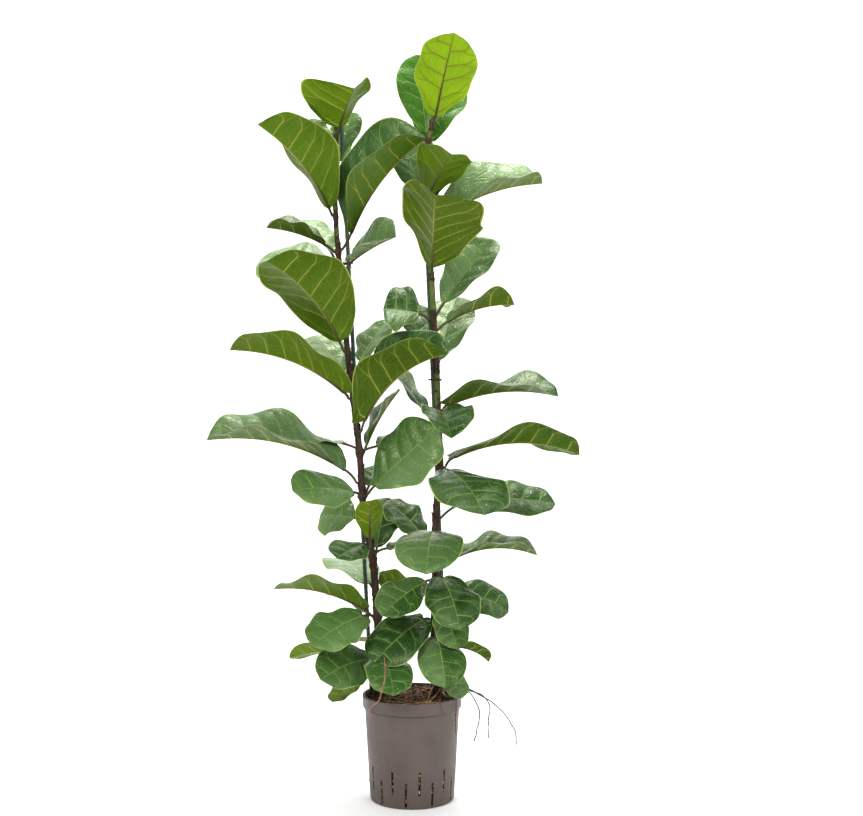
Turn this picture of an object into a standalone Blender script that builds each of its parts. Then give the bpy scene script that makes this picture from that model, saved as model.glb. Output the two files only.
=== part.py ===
"""Potted fiddle leaf fig: two staked stems with large leaves in a round grower's pot.

Metres, +Z up. The origin is the centre of the pot's underside, -Y is the front.
"""
import math
from dataclasses import dataclass

import bmesh
import bpy
import numpy as np
from mathutils import Matrix, Vector

for old in list(bpy.data.objects):
    bpy.data.objects.remove(old, do_unlink=True)

# ---- driving dimensions -------------------------------------------------
POT_HEIGHT = 0.190
RIM_RADIUS = 0.090
COLLAR_HEIGHT = 0.022
SHOULDER_RADIUS = 0.0855      # pot body just under the collar
BASE_RADIUS = 0.0760
WALL = 0.0020
EDGE = 0.0012                 # small bevel round the rim
FLOOR_THICKNESS = 0.0030
FILLET = 0.0040
SLOT_WIDTH = 0.0042
SLOT_HEIGHT = 0.042
SLOT_DEPTH = 0.012            # radial reach of the slot cutter
SLOTS_PER_ROW = 10
SLOT_ROW_BOTTOMS = (0.0048, 0.025)
SLOT_PHASE = 0.29             # first slot's turn from +X, in slot spacings

SOIL_TOP = 0.182
SOIL_MOUND = 0.004            # rise of the soil at its centre
SOIL_SHOULDER = 0.003         # drop of the soil's edge at the wall
GAP = 0.0003                  # clearance between pieces that touch
HOLE_DEPTH = 0.045            # how deep stems and stakes stand in the soil
HOLE_LIFT = 0.030             # how far the hole cutters reach above the soil

STEM_RADIUS = 0.0075          # at the soil
STEM_TAPER = 0.0035           # loss of radius up to the top
STEM_TAPER_START = 0.15
STEM_TAPER_LENGTH = 1.05
BUD_RADIUS = 0.0012
STAKE_RADIUS = 0.0040
TIE_THICKNESS = 0.0022
TIE_HEIGHT = 0.0040
TIE_HALF_WIDTH = 0.0090       # inside, across the two bars it ties
TIE_END_ROOM = 0.0078         # inside, past the centre of each bar
LEAF_THICKNESS = 0.0012
MIDRIB_DEPTH = 0.0010         # extra depth under the midrib at the blade's base
PETIOLE_RADIUS = 0.0021
ROOT_RADIUS = 0.0011

POT_SIDES = 40
STEM_SIDES = 10
STAKE_SIDES = 12
HOLE_SIDES = 16
TIE_SIDES = 16
ROOT_SIDES = 6
RING_POINTS = 8               # points round one section of a leaf
PATH_SPANS = 3                # straight spans between two points of a path
CM = 0.01


# ---- materials ----------------------------------------------------------
def make_material(name, colour, roughness, metallic=0.0):
    """A Principled material with one colour."""
    material = bpy.data.materials.new(name)
    material.use_nodes = True
    shader = material.node_tree.nodes["Principled BSDF"]
    shader.inputs["Base Color"].default_value = (*colour, 1.0)
    shader.inputs["Roughness"].default_value = roughness
    shader.inputs["Metallic"].default_value = metallic
    material.diffuse_color = (*colour, 1.0)
    return material


POT_PLASTIC = make_material("pot_plastic", (0.125, 0.110, 0.102), 0.48)
SOIL = make_material("soil", (0.045, 0.022, 0.012), 0.95)
BARK = make_material("bark", (0.085, 0.038, 0.022), 0.75)
STAKE_GREEN = make_material("stake_plastic", (0.035, 0.085, 0.050), 0.45)
TIE_BROWN = make_material("tie_cord", (0.10, 0.06, 0.035), 0.70)
ROOT = make_material("root", (0.30, 0.17, 0.10), 0.80)
LEAF = make_material("leaf_green", (0.075, 0.19, 0.045), 0.38)
YOUNG_LEAF = make_material("leaf_young", (0.25, 0.42, 0.045), 0.42)


def add_object(name, mesh, material, smooth_angle=40.0):
    """Wrap a mesh as the object of one sub-part, smooth where it is round."""
    mesh.materials.clear()
    mesh.materials.append(material)
    mesh.shade_smooth()
    mesh.set_sharp_from_angle(angle=math.radians(smooth_angle))
    obj = bpy.data.objects.new(name, mesh)
    bpy.context.scene.collection.objects.link(obj)
    return obj


def cut(target, cutter):
    """Subtract a hidden cutter from a sub-part."""
    cutter.hide_render = True
    cutter.display_type = "WIRE"
    modifier = target.modifiers.new("cut_" + cutter.name, "BOOLEAN")
    modifier.operation = "DIFFERENCE"
    modifier.solver = "EXACT"
    modifier.object = cutter


# ---- general shapes -----------------------------------------------------
def mesh_from_rings(name, rings):
    """Close a list of rings with equal point counts into one solid of flat triangles."""
    bm = bmesh.new()
    loops = [[bm.verts.new(Vector(point)) for point in ring] for ring in rings]
    count = len(loops[0])
    for lower, upper in zip(loops[:-1], loops[1:]):
        for i in range(count):
            j = (i + 1) % count
            bm.faces.new((lower[i], lower[j], upper[j], upper[i]))
    bm.faces.new(list(reversed(loops[0])))
    bm.faces.new(loops[-1])
    bmesh.ops.recalc_face_normals(bm, faces=bm.faces)
    bmesh.ops.triangulate(bm, faces=bm.faces)
    mesh = bpy.data.meshes.new(name)
    bm.to_mesh(mesh)
    bm.free()
    return mesh


def mesh_from_profile(name, profile, sides):
    """Turn a closed (radius, height) profile round +Z; radius 0 points become poles."""
    bm = bmesh.new()
    rings = []
    for radius, height in profile:
        if radius == 0.0:
            rings.append([bm.verts.new((0.0, 0.0, height))])
            continue
        turn = [2.0 * math.pi * k / sides for k in range(sides)]
        rings.append([bm.verts.new((radius * math.cos(a), radius * math.sin(a), height)) for a in turn])
    for lower, upper in zip(rings[:-1], rings[1:]):
        for i in range(sides):
            j = (i + 1) % sides
            if len(lower) == 1:
                bm.faces.new((lower[0], upper[j], upper[i]))
            elif len(upper) == 1:
                bm.faces.new((lower[i], lower[j], upper[0]))
            else:
                bm.faces.new((lower[i], lower[j], upper[j], upper[i]))
    bmesh.ops.recalc_face_normals(bm, faces=bm.faces)
    mesh = bpy.data.meshes.new(name)
    bm.to_mesh(mesh)
    bm.free()
    return mesh


def smooth_path(points):
    """Catmull-Rom curve through hand-placed points."""
    path = np.array(points, float)
    path = np.vstack([2 * path[0] - path[1], path, 2 * path[-1] - path[-2]])
    out = []
    for a, b, c, d in zip(path[:-3], path[1:-2], path[2:-1], path[3:]):
        for k in range(PATH_SPANS):
            t = k / PATH_SPANS
            out.append(0.5 * (2 * b + (c - a) * t + (2 * a - 5 * b + 4 * c - d) * t ** 2
                              + (3 * b - a - 3 * c + d) * t ** 3))
    out.append(path[-2])
    return np.array(out)


def tube(name, path, radii, sides):
    """A round tube along a path, with one radius for each of its points."""
    path = np.array(path, float)
    tangents = np.gradient(path, axis=0)
    tangents /= np.linalg.norm(tangents, axis=1)[:, None]
    side = np.cross(tangents[0], (0.0, 1.0, 0.0))
    rings = []
    for point, tangent, radius in zip(path, tangents, radii):
        side = side - tangent * side.dot(tangent)
        side /= np.linalg.norm(side)
        other = np.cross(tangent, side)
        turn = [2.0 * math.pi * k / sides for k in range(sides)]
        rings.append([point + radius * (math.cos(a) * side + math.sin(a) * other) for a in turn])
    return mesh_from_rings(name, rings)


def cylinder(name, start, end, radius, sides):
    """A straight round bar between two points."""
    return tube(name, np.linspace(start, end, 2), (radius, radius), sides)


# ---- pot and soil -------------------------------------------------------
def build_pot():
    """Tapered grower's pot with a collar and two rows of air slots."""
    collar_bottom = POT_HEIGHT - COLLAR_HEIGHT
    bore = RIM_RADIUS - WALL - 2 * EDGE
    profile = [
        (0.0, 0.0),
        (BASE_RADIUS - FILLET, 0.0),
        (BASE_RADIUS - 0.3 * FILLET, 0.3 * FILLET),
        (BASE_RADIUS, FILLET),
        (SHOULDER_RADIUS, collar_bottom - EDGE),
        (RIM_RADIUS - 1.2 * EDGE, collar_bottom),
        (RIM_RADIUS - 0.6 * EDGE, collar_bottom + EDGE),
        (RIM_RADIUS - 0.5 * EDGE, POT_HEIGHT - 4 * EDGE),
        (RIM_RADIUS, POT_HEIGHT - 3 * EDGE),
        (RIM_RADIUS, POT_HEIGHT - EDGE),
        (RIM_RADIUS - EDGE, POT_HEIGHT),
        (bore + EDGE, POT_HEIGHT),
        (bore, POT_HEIGHT - EDGE),
        (bore, collar_bottom),
        (SHOULDER_RADIUS - WALL, collar_bottom - SOIL_SHOULDER),
        (BASE_RADIUS - WALL, FLOOR_THICKNESS + FILLET),
        (BASE_RADIUS - WALL - FILLET, FLOOR_THICKNESS),
        (0.0, FLOOR_THICKNESS),
    ]
    pot = add_object("pot", mesh_from_profile("pot", profile, POT_SIDES), POT_PLASTIC)
    for row, bottom in enumerate(SLOT_ROW_BOTTOMS):
        cut(pot, slot_cutter(row, bottom))


def slot_cutter(row, bottom):
    """One row of upright boxes that cut the slots through the wall."""
    bm = bmesh.new()
    for k in range(SLOTS_PER_ROW):
        angle = 2.0 * math.pi * (k + 0.5 * row + SLOT_PHASE) / SLOTS_PER_ROW
        box = bmesh.ops.create_cube(bm, size=1.0)["verts"]
        bmesh.ops.scale(bm, verts=box, vec=(SLOT_DEPTH, SLOT_WIDTH, SLOT_HEIGHT))
        bmesh.ops.translate(bm, verts=box, vec=(BASE_RADIUS, 0.0, bottom + SLOT_HEIGHT / 2))
        bmesh.ops.rotate(bm, verts=box, cent=(0, 0, 0), matrix=Matrix.Rotation(angle, 3, "Z"))
    mesh = bpy.data.meshes.new("slot_row")
    bm.to_mesh(mesh)
    bm.free()
    return add_object(f"slots_{row + 1}", mesh, POT_PLASTIC)


def build_soil():
    """Slightly mounded soil that fills the pot, with a hole for each stem and stake."""
    collar_bottom = POT_HEIGHT - COLLAR_HEIGHT
    low = FLOOR_THICKNESS + GAP
    base = BASE_RADIUS - WALL - 2 * GAP
    shoulder = SHOULDER_RADIUS - WALL - 2 * GAP
    profile = [
        (0.0, low),
        (base - FILLET, low),
        (base, low + FILLET),
        (shoulder, collar_bottom - SOIL_SHOULDER),
        (shoulder, SOIL_TOP - SOIL_SHOULDER),
        (shoulder - WALL, SOIL_TOP),
        (0.6 * shoulder, SOIL_TOP + 0.6 * SOIL_MOUND),
        (0.25 * shoulder, SOIL_TOP + SOIL_MOUND),
        (0.0, SOIL_TOP + SOIL_MOUND),
    ]
    soil = add_object("soil", mesh_from_profile("soil", profile, POT_SIDES), SOIL)
    bottom = SOIL_TOP - HOLE_DEPTH
    above = SOIL_TOP + HOLE_LIFT
    for side, points in STEMS.items():
        x, y, _ = points[0]
        width = stem_radius(bottom) + 4 * GAP
        cutter = cylinder("hole_stem_" + side, (x, y, bottom), (x, y, above), width, HOLE_SIDES)
        cut(soil, add_object(cutter.name, cutter, SOIL))
    for side, (start, end) in STAKES.items():
        slope = (np.array(end) - start) / (end[2] - start[2])
        top = np.array(start) + slope * (above - start[2])
        low_end = np.array(start) - slope * GAP
        cutter = cylinder("hole_stake_" + side, low_end, top, STAKE_RADIUS + 3 * GAP, HOLE_SIDES)
        cut(soil, add_object(cutter.name, cutter, SOIL))


# ---- stems, stakes, ties and roots --------------------------------------
FOOT = SOIL_TOP - HOLE_DEPTH + GAP
STEMS = {
    "left": [(-0.058, 0, FOOT), (-0.058, 0, 0.21), (-0.063, 0, 0.33), (-0.070, 0, 0.42),
             (-0.087, 0, 0.52), (-0.095, 0, 0.63), (-0.108, 0, 0.74), (-0.118, 0, 0.83),
             (-0.128, 0, 0.94), (-0.135, 0, 1.02), (-0.138, 0, 1.10), (-0.136, 0, 1.20),
             (-0.134, 0, 1.235)],
    "right": [(0.044, 0, FOOT), (0.044, 0, 0.24), (0.040, 0, 0.31), (0.043, 0, 0.39),
              (0.041, 0, 0.46), (0.045, 0, 0.54), (0.051, 0, 0.60), (0.047, 0, 0.69),
              (0.045, 0, 0.76), (0.040, 0, 0.84), (0.036, 0, 0.93), (0.028, 0, 1.02),
              (0.023, 0, 1.09), (0.024, 0, 1.15), (0.031, 0, 1.19), (0.041, 0, 1.235)],
}
STAKES = {
    "left": ((-0.072, 0.017, FOOT), (-0.128, 0.017, 1.227)),
    "right": ((0.065, 0.017, FOOT), (0.024, 0.017, 1.06)),
}
TIES = {"left": 0.965, "right": 0.756}
ROOTS = {
    "root_rim_left": [(-0.060, -0.020, 0.190), (-0.062, -0.052, 0.1905), (-0.0645, -0.0665, 0.1930),
                      (-0.0665, -0.0700, 0.1870), (-0.069, -0.0690, 0.168)],
    "root_rim_right": [(0.055, -0.012, 0.1880), (0.064, -0.045, 0.1890), (0.068, -0.0610, 0.1930),
                       (0.0705, -0.0665, 0.1870), (0.074, -0.0640, 0.150), (0.075, -0.0600, 0.118)],
    "root_hanging_a": [(0.068, 0.034, 0.1870), (0.084, 0.036, 0.1960), (0.1105, 0.026, 0.178),
                       (0.1225, 0.018, 0.150), (0.118, 0.014, 0.120), (0.112, 0.012, 0.098)],
    "root_hanging_b": [(0.072, 0.022, 0.1870), (0.0890, 0.022, 0.1950), (0.122, 0.010, 0.187),
                       (0.140, 0.002, 0.168), (0.138, -0.004, 0.138), (0.138, -0.006, 0.110)],
    "root_hanging_c": [(0.074, 0.010, 0.1870), (0.0910, 0.008, 0.1955), (0.124, -0.006, 0.188),
                       (0.160, -0.020, 0.164), (0.184, -0.028, 0.130), (0.187, -0.030, 0.104)],
}


def stem_radius(height):
    """Stems taper from the soil to their tips."""
    share = min(1.0, max(0.0, (height - STEM_TAPER_START) / STEM_TAPER_LENGTH))
    return STEM_RADIUS - STEM_TAPER * share


def build_stems():
    """The two woody stems; each ends in a pointed bud."""
    for side, points in STEMS.items():
        path = smooth_path(points)
        radii = [stem_radius(p[2]) for p in path]
        radii[-1] = BUD_RADIUS
        mesh = tube("stem_" + side, path, radii, STEM_SIDES)
        add_object("stem_" + side, mesh, BARK)


def build_stakes():
    """A straight plastic-coated stake behind each stem."""
    for side, (start, end) in STAKES.items():
        mesh = cylinder("stake_" + side, start, end, STAKE_RADIUS, STAKE_SIDES)
        add_object("stake_" + side, mesh, STAKE_GREEN)


def build_ties():
    """One loop of cord round each stem and its stake."""
    for side, height in TIES.items():
        path = smooth_path(STEMS[side])
        stem = np.array([np.interp(height, path[:, 2], path[:, 0]), 0.0])
        start, end = np.array(STAKES[side][0]), np.array(STAKES[side][1])
        share = (height - start[2]) / (end[2] - start[2])
        stake = (start + share * (end - start))[:2]
        add_object("tie_" + side, tie_mesh(side, height, stem, stake), TIE_BROWN)


def tie_mesh(side, height, stem, stake):
    """A flat ring whose inside clears both round bars it ties together."""
    centre = (stem + stake) / 2
    along = (stake - stem) / np.linalg.norm(stake - stem)
    across = np.array([-along[1], along[0]])
    inner_long = np.linalg.norm(stake - stem) / 2 + TIE_END_ROOM
    rings = []
    for k in range(TIE_SIDES):
        a = 2.0 * math.pi * k / TIE_SIDES
        ring = []
        for grow, lift in ((0, 0), (TIE_THICKNESS, 0), (TIE_THICKNESS, TIE_HEIGHT), (0, TIE_HEIGHT)):
            flat = (centre + along * (inner_long + grow) * math.cos(a)
                    + across * (TIE_HALF_WIDTH + grow) * math.sin(a))
            ring.append((flat[0], flat[1], height + lift))
        rings.append(ring)
    bm = bmesh.new()
    loops = [[bm.verts.new(p) for p in ring] for ring in rings]
    for k in range(TIE_SIDES):
        here, there = loops[k], loops[(k + 1) % TIE_SIDES]
        for i in range(4):
            j = (i + 1) % 4
            bm.faces.new((here[i], here[j], there[j], there[i]))
    bmesh.ops.recalc_face_normals(bm, faces=bm.faces)
    mesh = bpy.data.meshes.new("tie_" + side)
    bm.to_mesh(mesh)
    bm.free()
    return mesh


def build_roots():
    """Surface roots that creep over the rim and hang outside the pot."""
    for name, points in ROOTS.items():
        path = smooth_path(points)
        radii = np.linspace(1.25 * ROOT_RADIUS, 0.7 * ROOT_RADIUS, len(path))
        add_object(name, tube(name, path, radii, ROOT_SIDES), ROOT)


# ---- leaves -------------------------------------------------------------
@dataclass
class Leaf:
    """One leaf: where its stalk leaves the stem, and how its blade is set.

    Heights and lengths are in centimetres, angles in degrees. Heading 0 points to +X and -90 to
    the front. `roll` lifts the blade's left side, `fold` lifts both halves, `shape` goes from 0
    (fiddle) to 1 (round).
    """
    number: int
    height: float
    heading: float
    stalk: float
    stalk_rise: float
    rise: float
    droop: float
    length: float
    width: float
    roll: float
    twist: float
    fold: float
    shape: float


# number, height, heading, stalk, stalk_rise, rise, droop, length, width, roll, twist, fold, shape
RIGHT_LEAVES = [
    (1, 120.8, -50, 2, 85, 72, 4, 14.5, 13, -5, 0, 8, 0.6),
    (2, 118, 106, 2, 85, 70, 6, 16.5, 9, -15, 0, 20, 0.5),
    (3, 116.5, 72, 2, 80, 58, 8, 17.5, 11, 5, 0, 15, 0.5),
    (4, 107.3, -68, 2, 70, 34, 10, 11.5, 11.5, -20, 0, 42, 0.6),
    (6, 103, 12, 2, 60, 37, 34, 20.5, 15.5, 30, -15, 42, 0.4),
    (7, 94, -88, 2, 70, 45, 16, 18.5, 18, -23, 0, 40, 0.45),
    (8, 87.5, 36, 2.5, 60, 50, 8, 16.5, 9.5, 28, 0, 28, 0.4),
    (9, 86.6, 177, 2.2, 45, 14, 12, 6.4, 12, -45, 0, 20, 0.7),
    (10, 84.8, -5, 2, 50, 32, 35, 12.5, 10, 20, -45, 35, 0.4),
    (12, 77.5, 75, 2, 70, 50, 14, 17.5, 10, 0, 0, 15, 0.4),
    (13, 67, 145, 3, 60, 50, 12, 17, 9, 10, 0, 15, 0.4),
    (14, 70.3, -5, 1.2, 75, 24, 38, 20, 13, -22, 45, 32, 0.4),
    (15, 70, -80, 2, 10, -5, 34, 11, 10.5, 0, 0, 38, 0.8),
    (16, 60, -5, 2.4, 75, 26, 48, 22.8, 13, 10, -45, 28, 0.4),
    (17, 59, -66, 3, 40, -8, 32, 16, 14.5, 0, 0, 12, 0.7),
    (18, 50.8, 10, 6, 50, 8, 20, 16, 9.5, 35, 0, 15, 0.65),
    (19, 42, -2, 2.4, 45, 28, 50, 15.8, 10, 10, -10, 34, 0.4),
    (20, 48.2, -96, 2.5, 20, 4, 60, 13.5, 12, 0, 0, 15, 0.8),
    (21, 40.5, -68, 2.5, 20, -25, 40, 11, 10.4, 0, 0, 8, 0.9),
    (22, 36.5, 10, 2.5, 30, 0, 40, 11, 8.5, 40, 0, 15, 0.6),
    (23, 34.7, -58, 2, 10, -36, 32, 7.5, 7.2, 0, 0, 10, 1),
    (25, 29.6, -80, 2, 10, -20, 44, 10.5, 8.8, 0, 0, 10, 1),
    (26, 23.5, -45, 1.2, 10, -28, 30, 6, 5.5, 10, 0, 10, 1),
    (27, 107, 118, 2, 70, 60, 12, 18, 10, -10, 0, 20, 0.4),
    (29, 37, 165, 3, 30, 12, 15, 7, 8, 50, 0, 10, 0.5),
    (30, 39.5, -142, 1.4, 30, -18, 20, 11, 8.2, -30, 0, 15, 0.5),
    (31, 32.5, -145, 1.5, 40, -22, 20, 12.5, 10.5, -25, 0, 10, 0.8),
]
LEFT_LEAVES = [
    (1, 118.8, -62, 2, 75, 50, 12, 8.5, 17, 8, 0, 45, 0.7),
    (2, 105.2, -152, 1.2, 70, 64, 36, 19.5, 15, 30, -25, 42, 0.4),
    (3, 99, -20, 3.4, 50, 66, 34, 21.5, 19.5, 36, 0, 56, 0.5),
    (7, 98.7, -172, 2, 50, 28, 25, 10.8, 10.5, -10, 0, 35, 0.4),
    (9, 94.8, -34, 3.6, 62, 28, 14, 9.5, 13, 34, 0, 36, 0.9),
    (10, 93.2, 155, 2.5, 50, 26, 25, 14.3, 15, -30, 0, 10, 0.5),
    (11, 80.8, -138, 2, 60, 60, 38, 21, 17.5, 23, -5, 30, 0.6),
    (12, 72.4, -177, 1.2, 70, 42, 42, 22, 13.5, 25, -15, 35, 0.4),
    (13, 66.5, -28, 2, 80, 62, 52, 21, 16.5, 18, 0, 62, 0.5),
    (14, 62.5, 33, 1.6, 75, 64, 20, 12, 8.5, -20, 0, 30, 0.4),
    (15, 76.6, 46, 3, 60, 56, 18, 10.5, 8.5, 0, 0, 15, 0.4),
    (17, 57.2, -175, 3, 65, 34, 42, 25.5, 15.5, -17, 5, 40, 0.4),
    (20, 55, -6, 2, 60, 45, 5, 15.5, 13, 58, 0, 12, 0.5),
    (21, 55.3, -150, 0.9, 25, 14, 20, 12, 10.5, -36, 0, 12, 0.5),
    (23, 45.5, -88, 2, 60, 62, 15, 9, 5.4, 12, 0, 32, 0.5),
    (31, 33, -178, 2.2, 50, 32, 38, 16.5, 12, 35, -30, 25, 0.45),
    (32, 37.5, 115, 2, 40, 22, 24, 16, 10.5, 0, 0, 10, 0.5),
    (33, 33.2, -140, 2.5, 20, -8, 24, 11.6, 10, -25, 0, 10, 0.8),
    (35, 25.4, -137, 1.0, 20, 3, 26, 11.8, 9.3, -40, 0, 10, 0.8),
    (38, 26.2, -77, 2, 10, 2, 52, 11.8, 8.5, 0, 0, 12, 0.9),
]
YOUNG = {("right", 1)}
MARGIN_RELAX = -20.0          # the fold opens by this much towards the margins, in degrees
STATIONS = (0.03, 0.11, 0.24, 0.40, 0.56, 0.72, 0.87, 0.975)


def half_width(u, shape):
    """Half width at share u of the blade's length: fiddle with a waist, or nearly round."""
    v = u ** (1.45 - 0.40 * shape)
    waist = 1.0 - (0.24 - 0.22 * shape) * math.exp(-((u - 0.27) / 0.13) ** 2)
    return math.sqrt(max(0.0, 1.0 - abs(2.0 * v - 1.0) ** 2.3)) * waist


def direction(heading, rise):
    """Unit vector for a heading and a rise above the horizontal, both in radians."""
    return np.array([math.cos(rise) * math.cos(heading), math.cos(rise) * math.sin(heading), math.sin(rise)])


def leaf_rings(side, leaf):
    """Closed rings along a leaf: two round the stalk, then one at each station of the blade."""
    heading, rise = math.radians(leaf.heading), math.radians(leaf.rise)
    stalk_rise, droop = math.radians(leaf.stalk_rise), math.radians(leaf.droop)
    height = leaf.height * CM
    stem = smooth_path(STEMS[side])
    point = np.array([np.interp(height, stem[:, 2], stem[:, 0]), 0.0, height])
    clear = stem_radius(height) + 2 * GAP + PETIOLE_RADIUS * math.sin(stalk_rise)
    point = point + clear * direction(heading, 0.0)
    rings = [stalk_ring(point, heading, stalk_rise)]
    steps = 8
    for k in range(steps):
        angle = stalk_rise + (rise - stalk_rise) * (k + 0.5) / steps
        point = point + leaf.stalk * CM / steps * direction(heading, angle)
    rings.append(stalk_ring(point, heading, rise))
    length, fine = leaf.length * CM, 100
    station = 0
    for k in range(fine):
        share = (k + 0.5) / fine
        angle = rise - droop * share
        if station < len(STATIONS) and share >= STATIONS[station]:
            rings.append(blade_ring(point, leaf, heading, angle, STATIONS[station]))
            station += 1
        point = point + length / fine * direction(heading, angle)
    return rings


def stalk_ring(point, heading, rise):
    """Eight points round the stalk, from its right side over its top."""
    left = np.array([-math.sin(heading), math.cos(heading), 0.0])
    up = np.cross(direction(heading, rise), left)
    turn = [math.pi - 2.0 * math.pi * k / RING_POINTS for k in range(RING_POINTS)]
    return [point + PETIOLE_RADIUS * (math.cos(a) * left + math.sin(a) * up) for a in turn]


def blade_ring(point, leaf, heading, rise, u):
    """Eight points round the blade: edge to edge over the top, then back along the underside."""
    tangent = direction(heading, rise)
    left = np.array([-math.sin(heading), math.cos(heading), 0.0])
    up = np.cross(tangent, left)
    roll = math.radians(leaf.roll + leaf.twist * u)
    left, up = math.cos(roll) * left + math.sin(roll) * up, math.cos(roll) * up - math.sin(roll) * left
    width = half_width(u, leaf.shape) * leaf.width * CM / 2
    rib = MIDRIB_DEPTH * (1.0 - u)
    over = [(t, +0.5) for t in (-1.0, -0.5, 0.0, 0.5, 1.0)]
    under = [(t, -0.5) for t in (0.5, 0.0, -0.5)]
    ring = []
    for t, face in over + under:
        reach, lift, lean = fold_section(abs(t), leaf.fold)
        hand = math.copysign(1.0, t)
        skin = 0.0 if abs(t) == 1.0 else face * LEAF_THICKNESS
        if t == 0.0 and face < 0:
            skin -= rib
        normal = up if t == 0.0 else math.cos(lean) * up - hand * math.sin(lean) * left
        ring.append(point + width * (hand * reach * left + lift * up) + skin * normal)
    return ring


def fold_section(share, fold):
    """Sideways reach, lift and lean at a share of the half width, along a gently opening arc."""
    steps = 6
    reach = lift = 0.0
    for k in range(steps):
        lean = math.radians(fold + MARGIN_RELAX * share * (k + 0.5) / steps)
        reach += math.cos(lean) * share / steps
        lift += math.sin(lean) * share / steps
    return reach, lift, math.radians(fold + MARGIN_RELAX * share)


def build_leaves():
    """One closed solid for each leaf."""
    for side, leaves in (("right", RIGHT_LEAVES), ("left", LEFT_LEAVES)):
        for row in leaves:
            leaf = Leaf(*row)
            name = f"leaf_{side}_{leaf.number:02d}"
            material = YOUNG_LEAF if (side, leaf.number) in YOUNG else LEAF
            add_object(name, mesh_from_rings(name, leaf_rings(side, leaf)), material)


build_pot()
build_soil()
build_stems()
build_stakes()
build_ties()
build_roots()
build_leaves()
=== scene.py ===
# %% [markdown]
# # A potted fiddle leaf fig
# This lesson dresses a measured model of a house plant: two staked stems with large
# fiddle-shaped leaves, in a round grower's pot. The measured model stays fixed. Every
# finished piece is made where that model says, so nothing has to be fitted by eye.

# %% Load the measured model
import math

import bmesh
import bpy
import numpy as np
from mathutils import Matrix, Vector, noise


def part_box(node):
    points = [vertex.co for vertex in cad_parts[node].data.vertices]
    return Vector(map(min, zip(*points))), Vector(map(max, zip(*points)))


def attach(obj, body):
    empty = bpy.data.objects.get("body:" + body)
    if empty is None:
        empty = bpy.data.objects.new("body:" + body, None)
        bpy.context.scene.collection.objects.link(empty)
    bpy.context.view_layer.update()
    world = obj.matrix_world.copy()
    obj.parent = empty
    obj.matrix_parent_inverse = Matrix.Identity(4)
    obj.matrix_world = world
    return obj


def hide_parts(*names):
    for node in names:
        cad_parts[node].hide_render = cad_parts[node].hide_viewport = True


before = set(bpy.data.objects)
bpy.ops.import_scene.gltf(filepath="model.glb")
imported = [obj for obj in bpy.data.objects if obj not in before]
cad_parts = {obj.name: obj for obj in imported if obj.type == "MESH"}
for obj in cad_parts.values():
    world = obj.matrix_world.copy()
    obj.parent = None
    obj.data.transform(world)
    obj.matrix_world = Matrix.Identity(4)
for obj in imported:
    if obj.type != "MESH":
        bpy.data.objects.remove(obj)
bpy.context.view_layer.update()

BODY = "root"

# %% [markdown]
# ## Camera
# The plant is over a metre tall and is seen from the height of its middle. A longish lens
# from two and a half metres keeps the pot and the top leaves free of distortion.

# %% Set the camera
CAMERA_PLACE = (0.035, -2.583, 0.791)
CAMERA_LENS = 59.9            # mm, on a 36 mm wide sensor
CAMERA_PITCH = 1.86           # degrees below the horizontal

camera_data = bpy.data.cameras.new("camera")
camera_data.lens = CAMERA_LENS
camera_data.sensor_width = 36.0
camera = bpy.data.objects.new("camera", camera_data)
camera.location = CAMERA_PLACE
camera.rotation_euler = (math.radians(90.0 - CAMERA_PITCH), 0.0, 0.0)
bpy.context.scene.collection.objects.link(camera)
bpy.context.scene.camera = camera
bpy.context.scene.view_settings.view_transform = "Standard"

# %% [markdown]
# ## Meshes from numbers
# Most pieces here are swept or gridded surfaces. One helper turns points and faces into an
# object, sets smooth shading, and keeps an edge sharp only where two faces meet steeply.

# %% Helpers for meshes
def new_piece(name, points, faces, materials, face_slots=None, sharp_degrees=45.0):
    """Make one object from points and faces, with its origin at the world's origin."""
    mesh = bpy.data.meshes.new(name)
    mesh.from_pydata([tuple(p) for p in np.asarray(points, float)], [], faces)
    for material in materials:
        mesh.materials.append(material)
    if face_slots is not None:
        mesh.polygons.foreach_set("material_index", np.asarray(face_slots, np.int32))
    mesh.shade_smooth()
    if sharp_degrees is not None:
        mesh.set_sharp_from_angle(angle=math.radians(sharp_degrees))
    mesh.update()
    piece = bpy.data.objects.new(name, mesh)
    bpy.context.scene.collection.objects.link(piece)
    return piece


def finish_piece(piece, slot, *nodes):
    """Hang a piece on the plant's one body and hide the measured solids it replaces."""
    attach(piece, BODY)
    if nodes:
        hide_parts(*nodes)
    return piece


def smooth_path(points, spans):
    """Catmull-Rom curve through points, with a number of straight spans between two of them."""
    path = np.array(points, float)
    path = np.vstack([2 * path[0] - path[1], path, 2 * path[-1] - path[-2]])
    out = []
    for a, b, c, d in zip(path[:-3], path[1:-2], path[2:-1], path[3:]):
        for k in range(spans):
            t = k / spans
            out.append(0.5 * (2 * b + (c - a) * t + (2 * a - 5 * b + 4 * c - d) * t ** 2
                              + (3 * b - a - 3 * c + d) * t ** 3))
    out.append(path[-2])
    return np.array(out)


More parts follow.
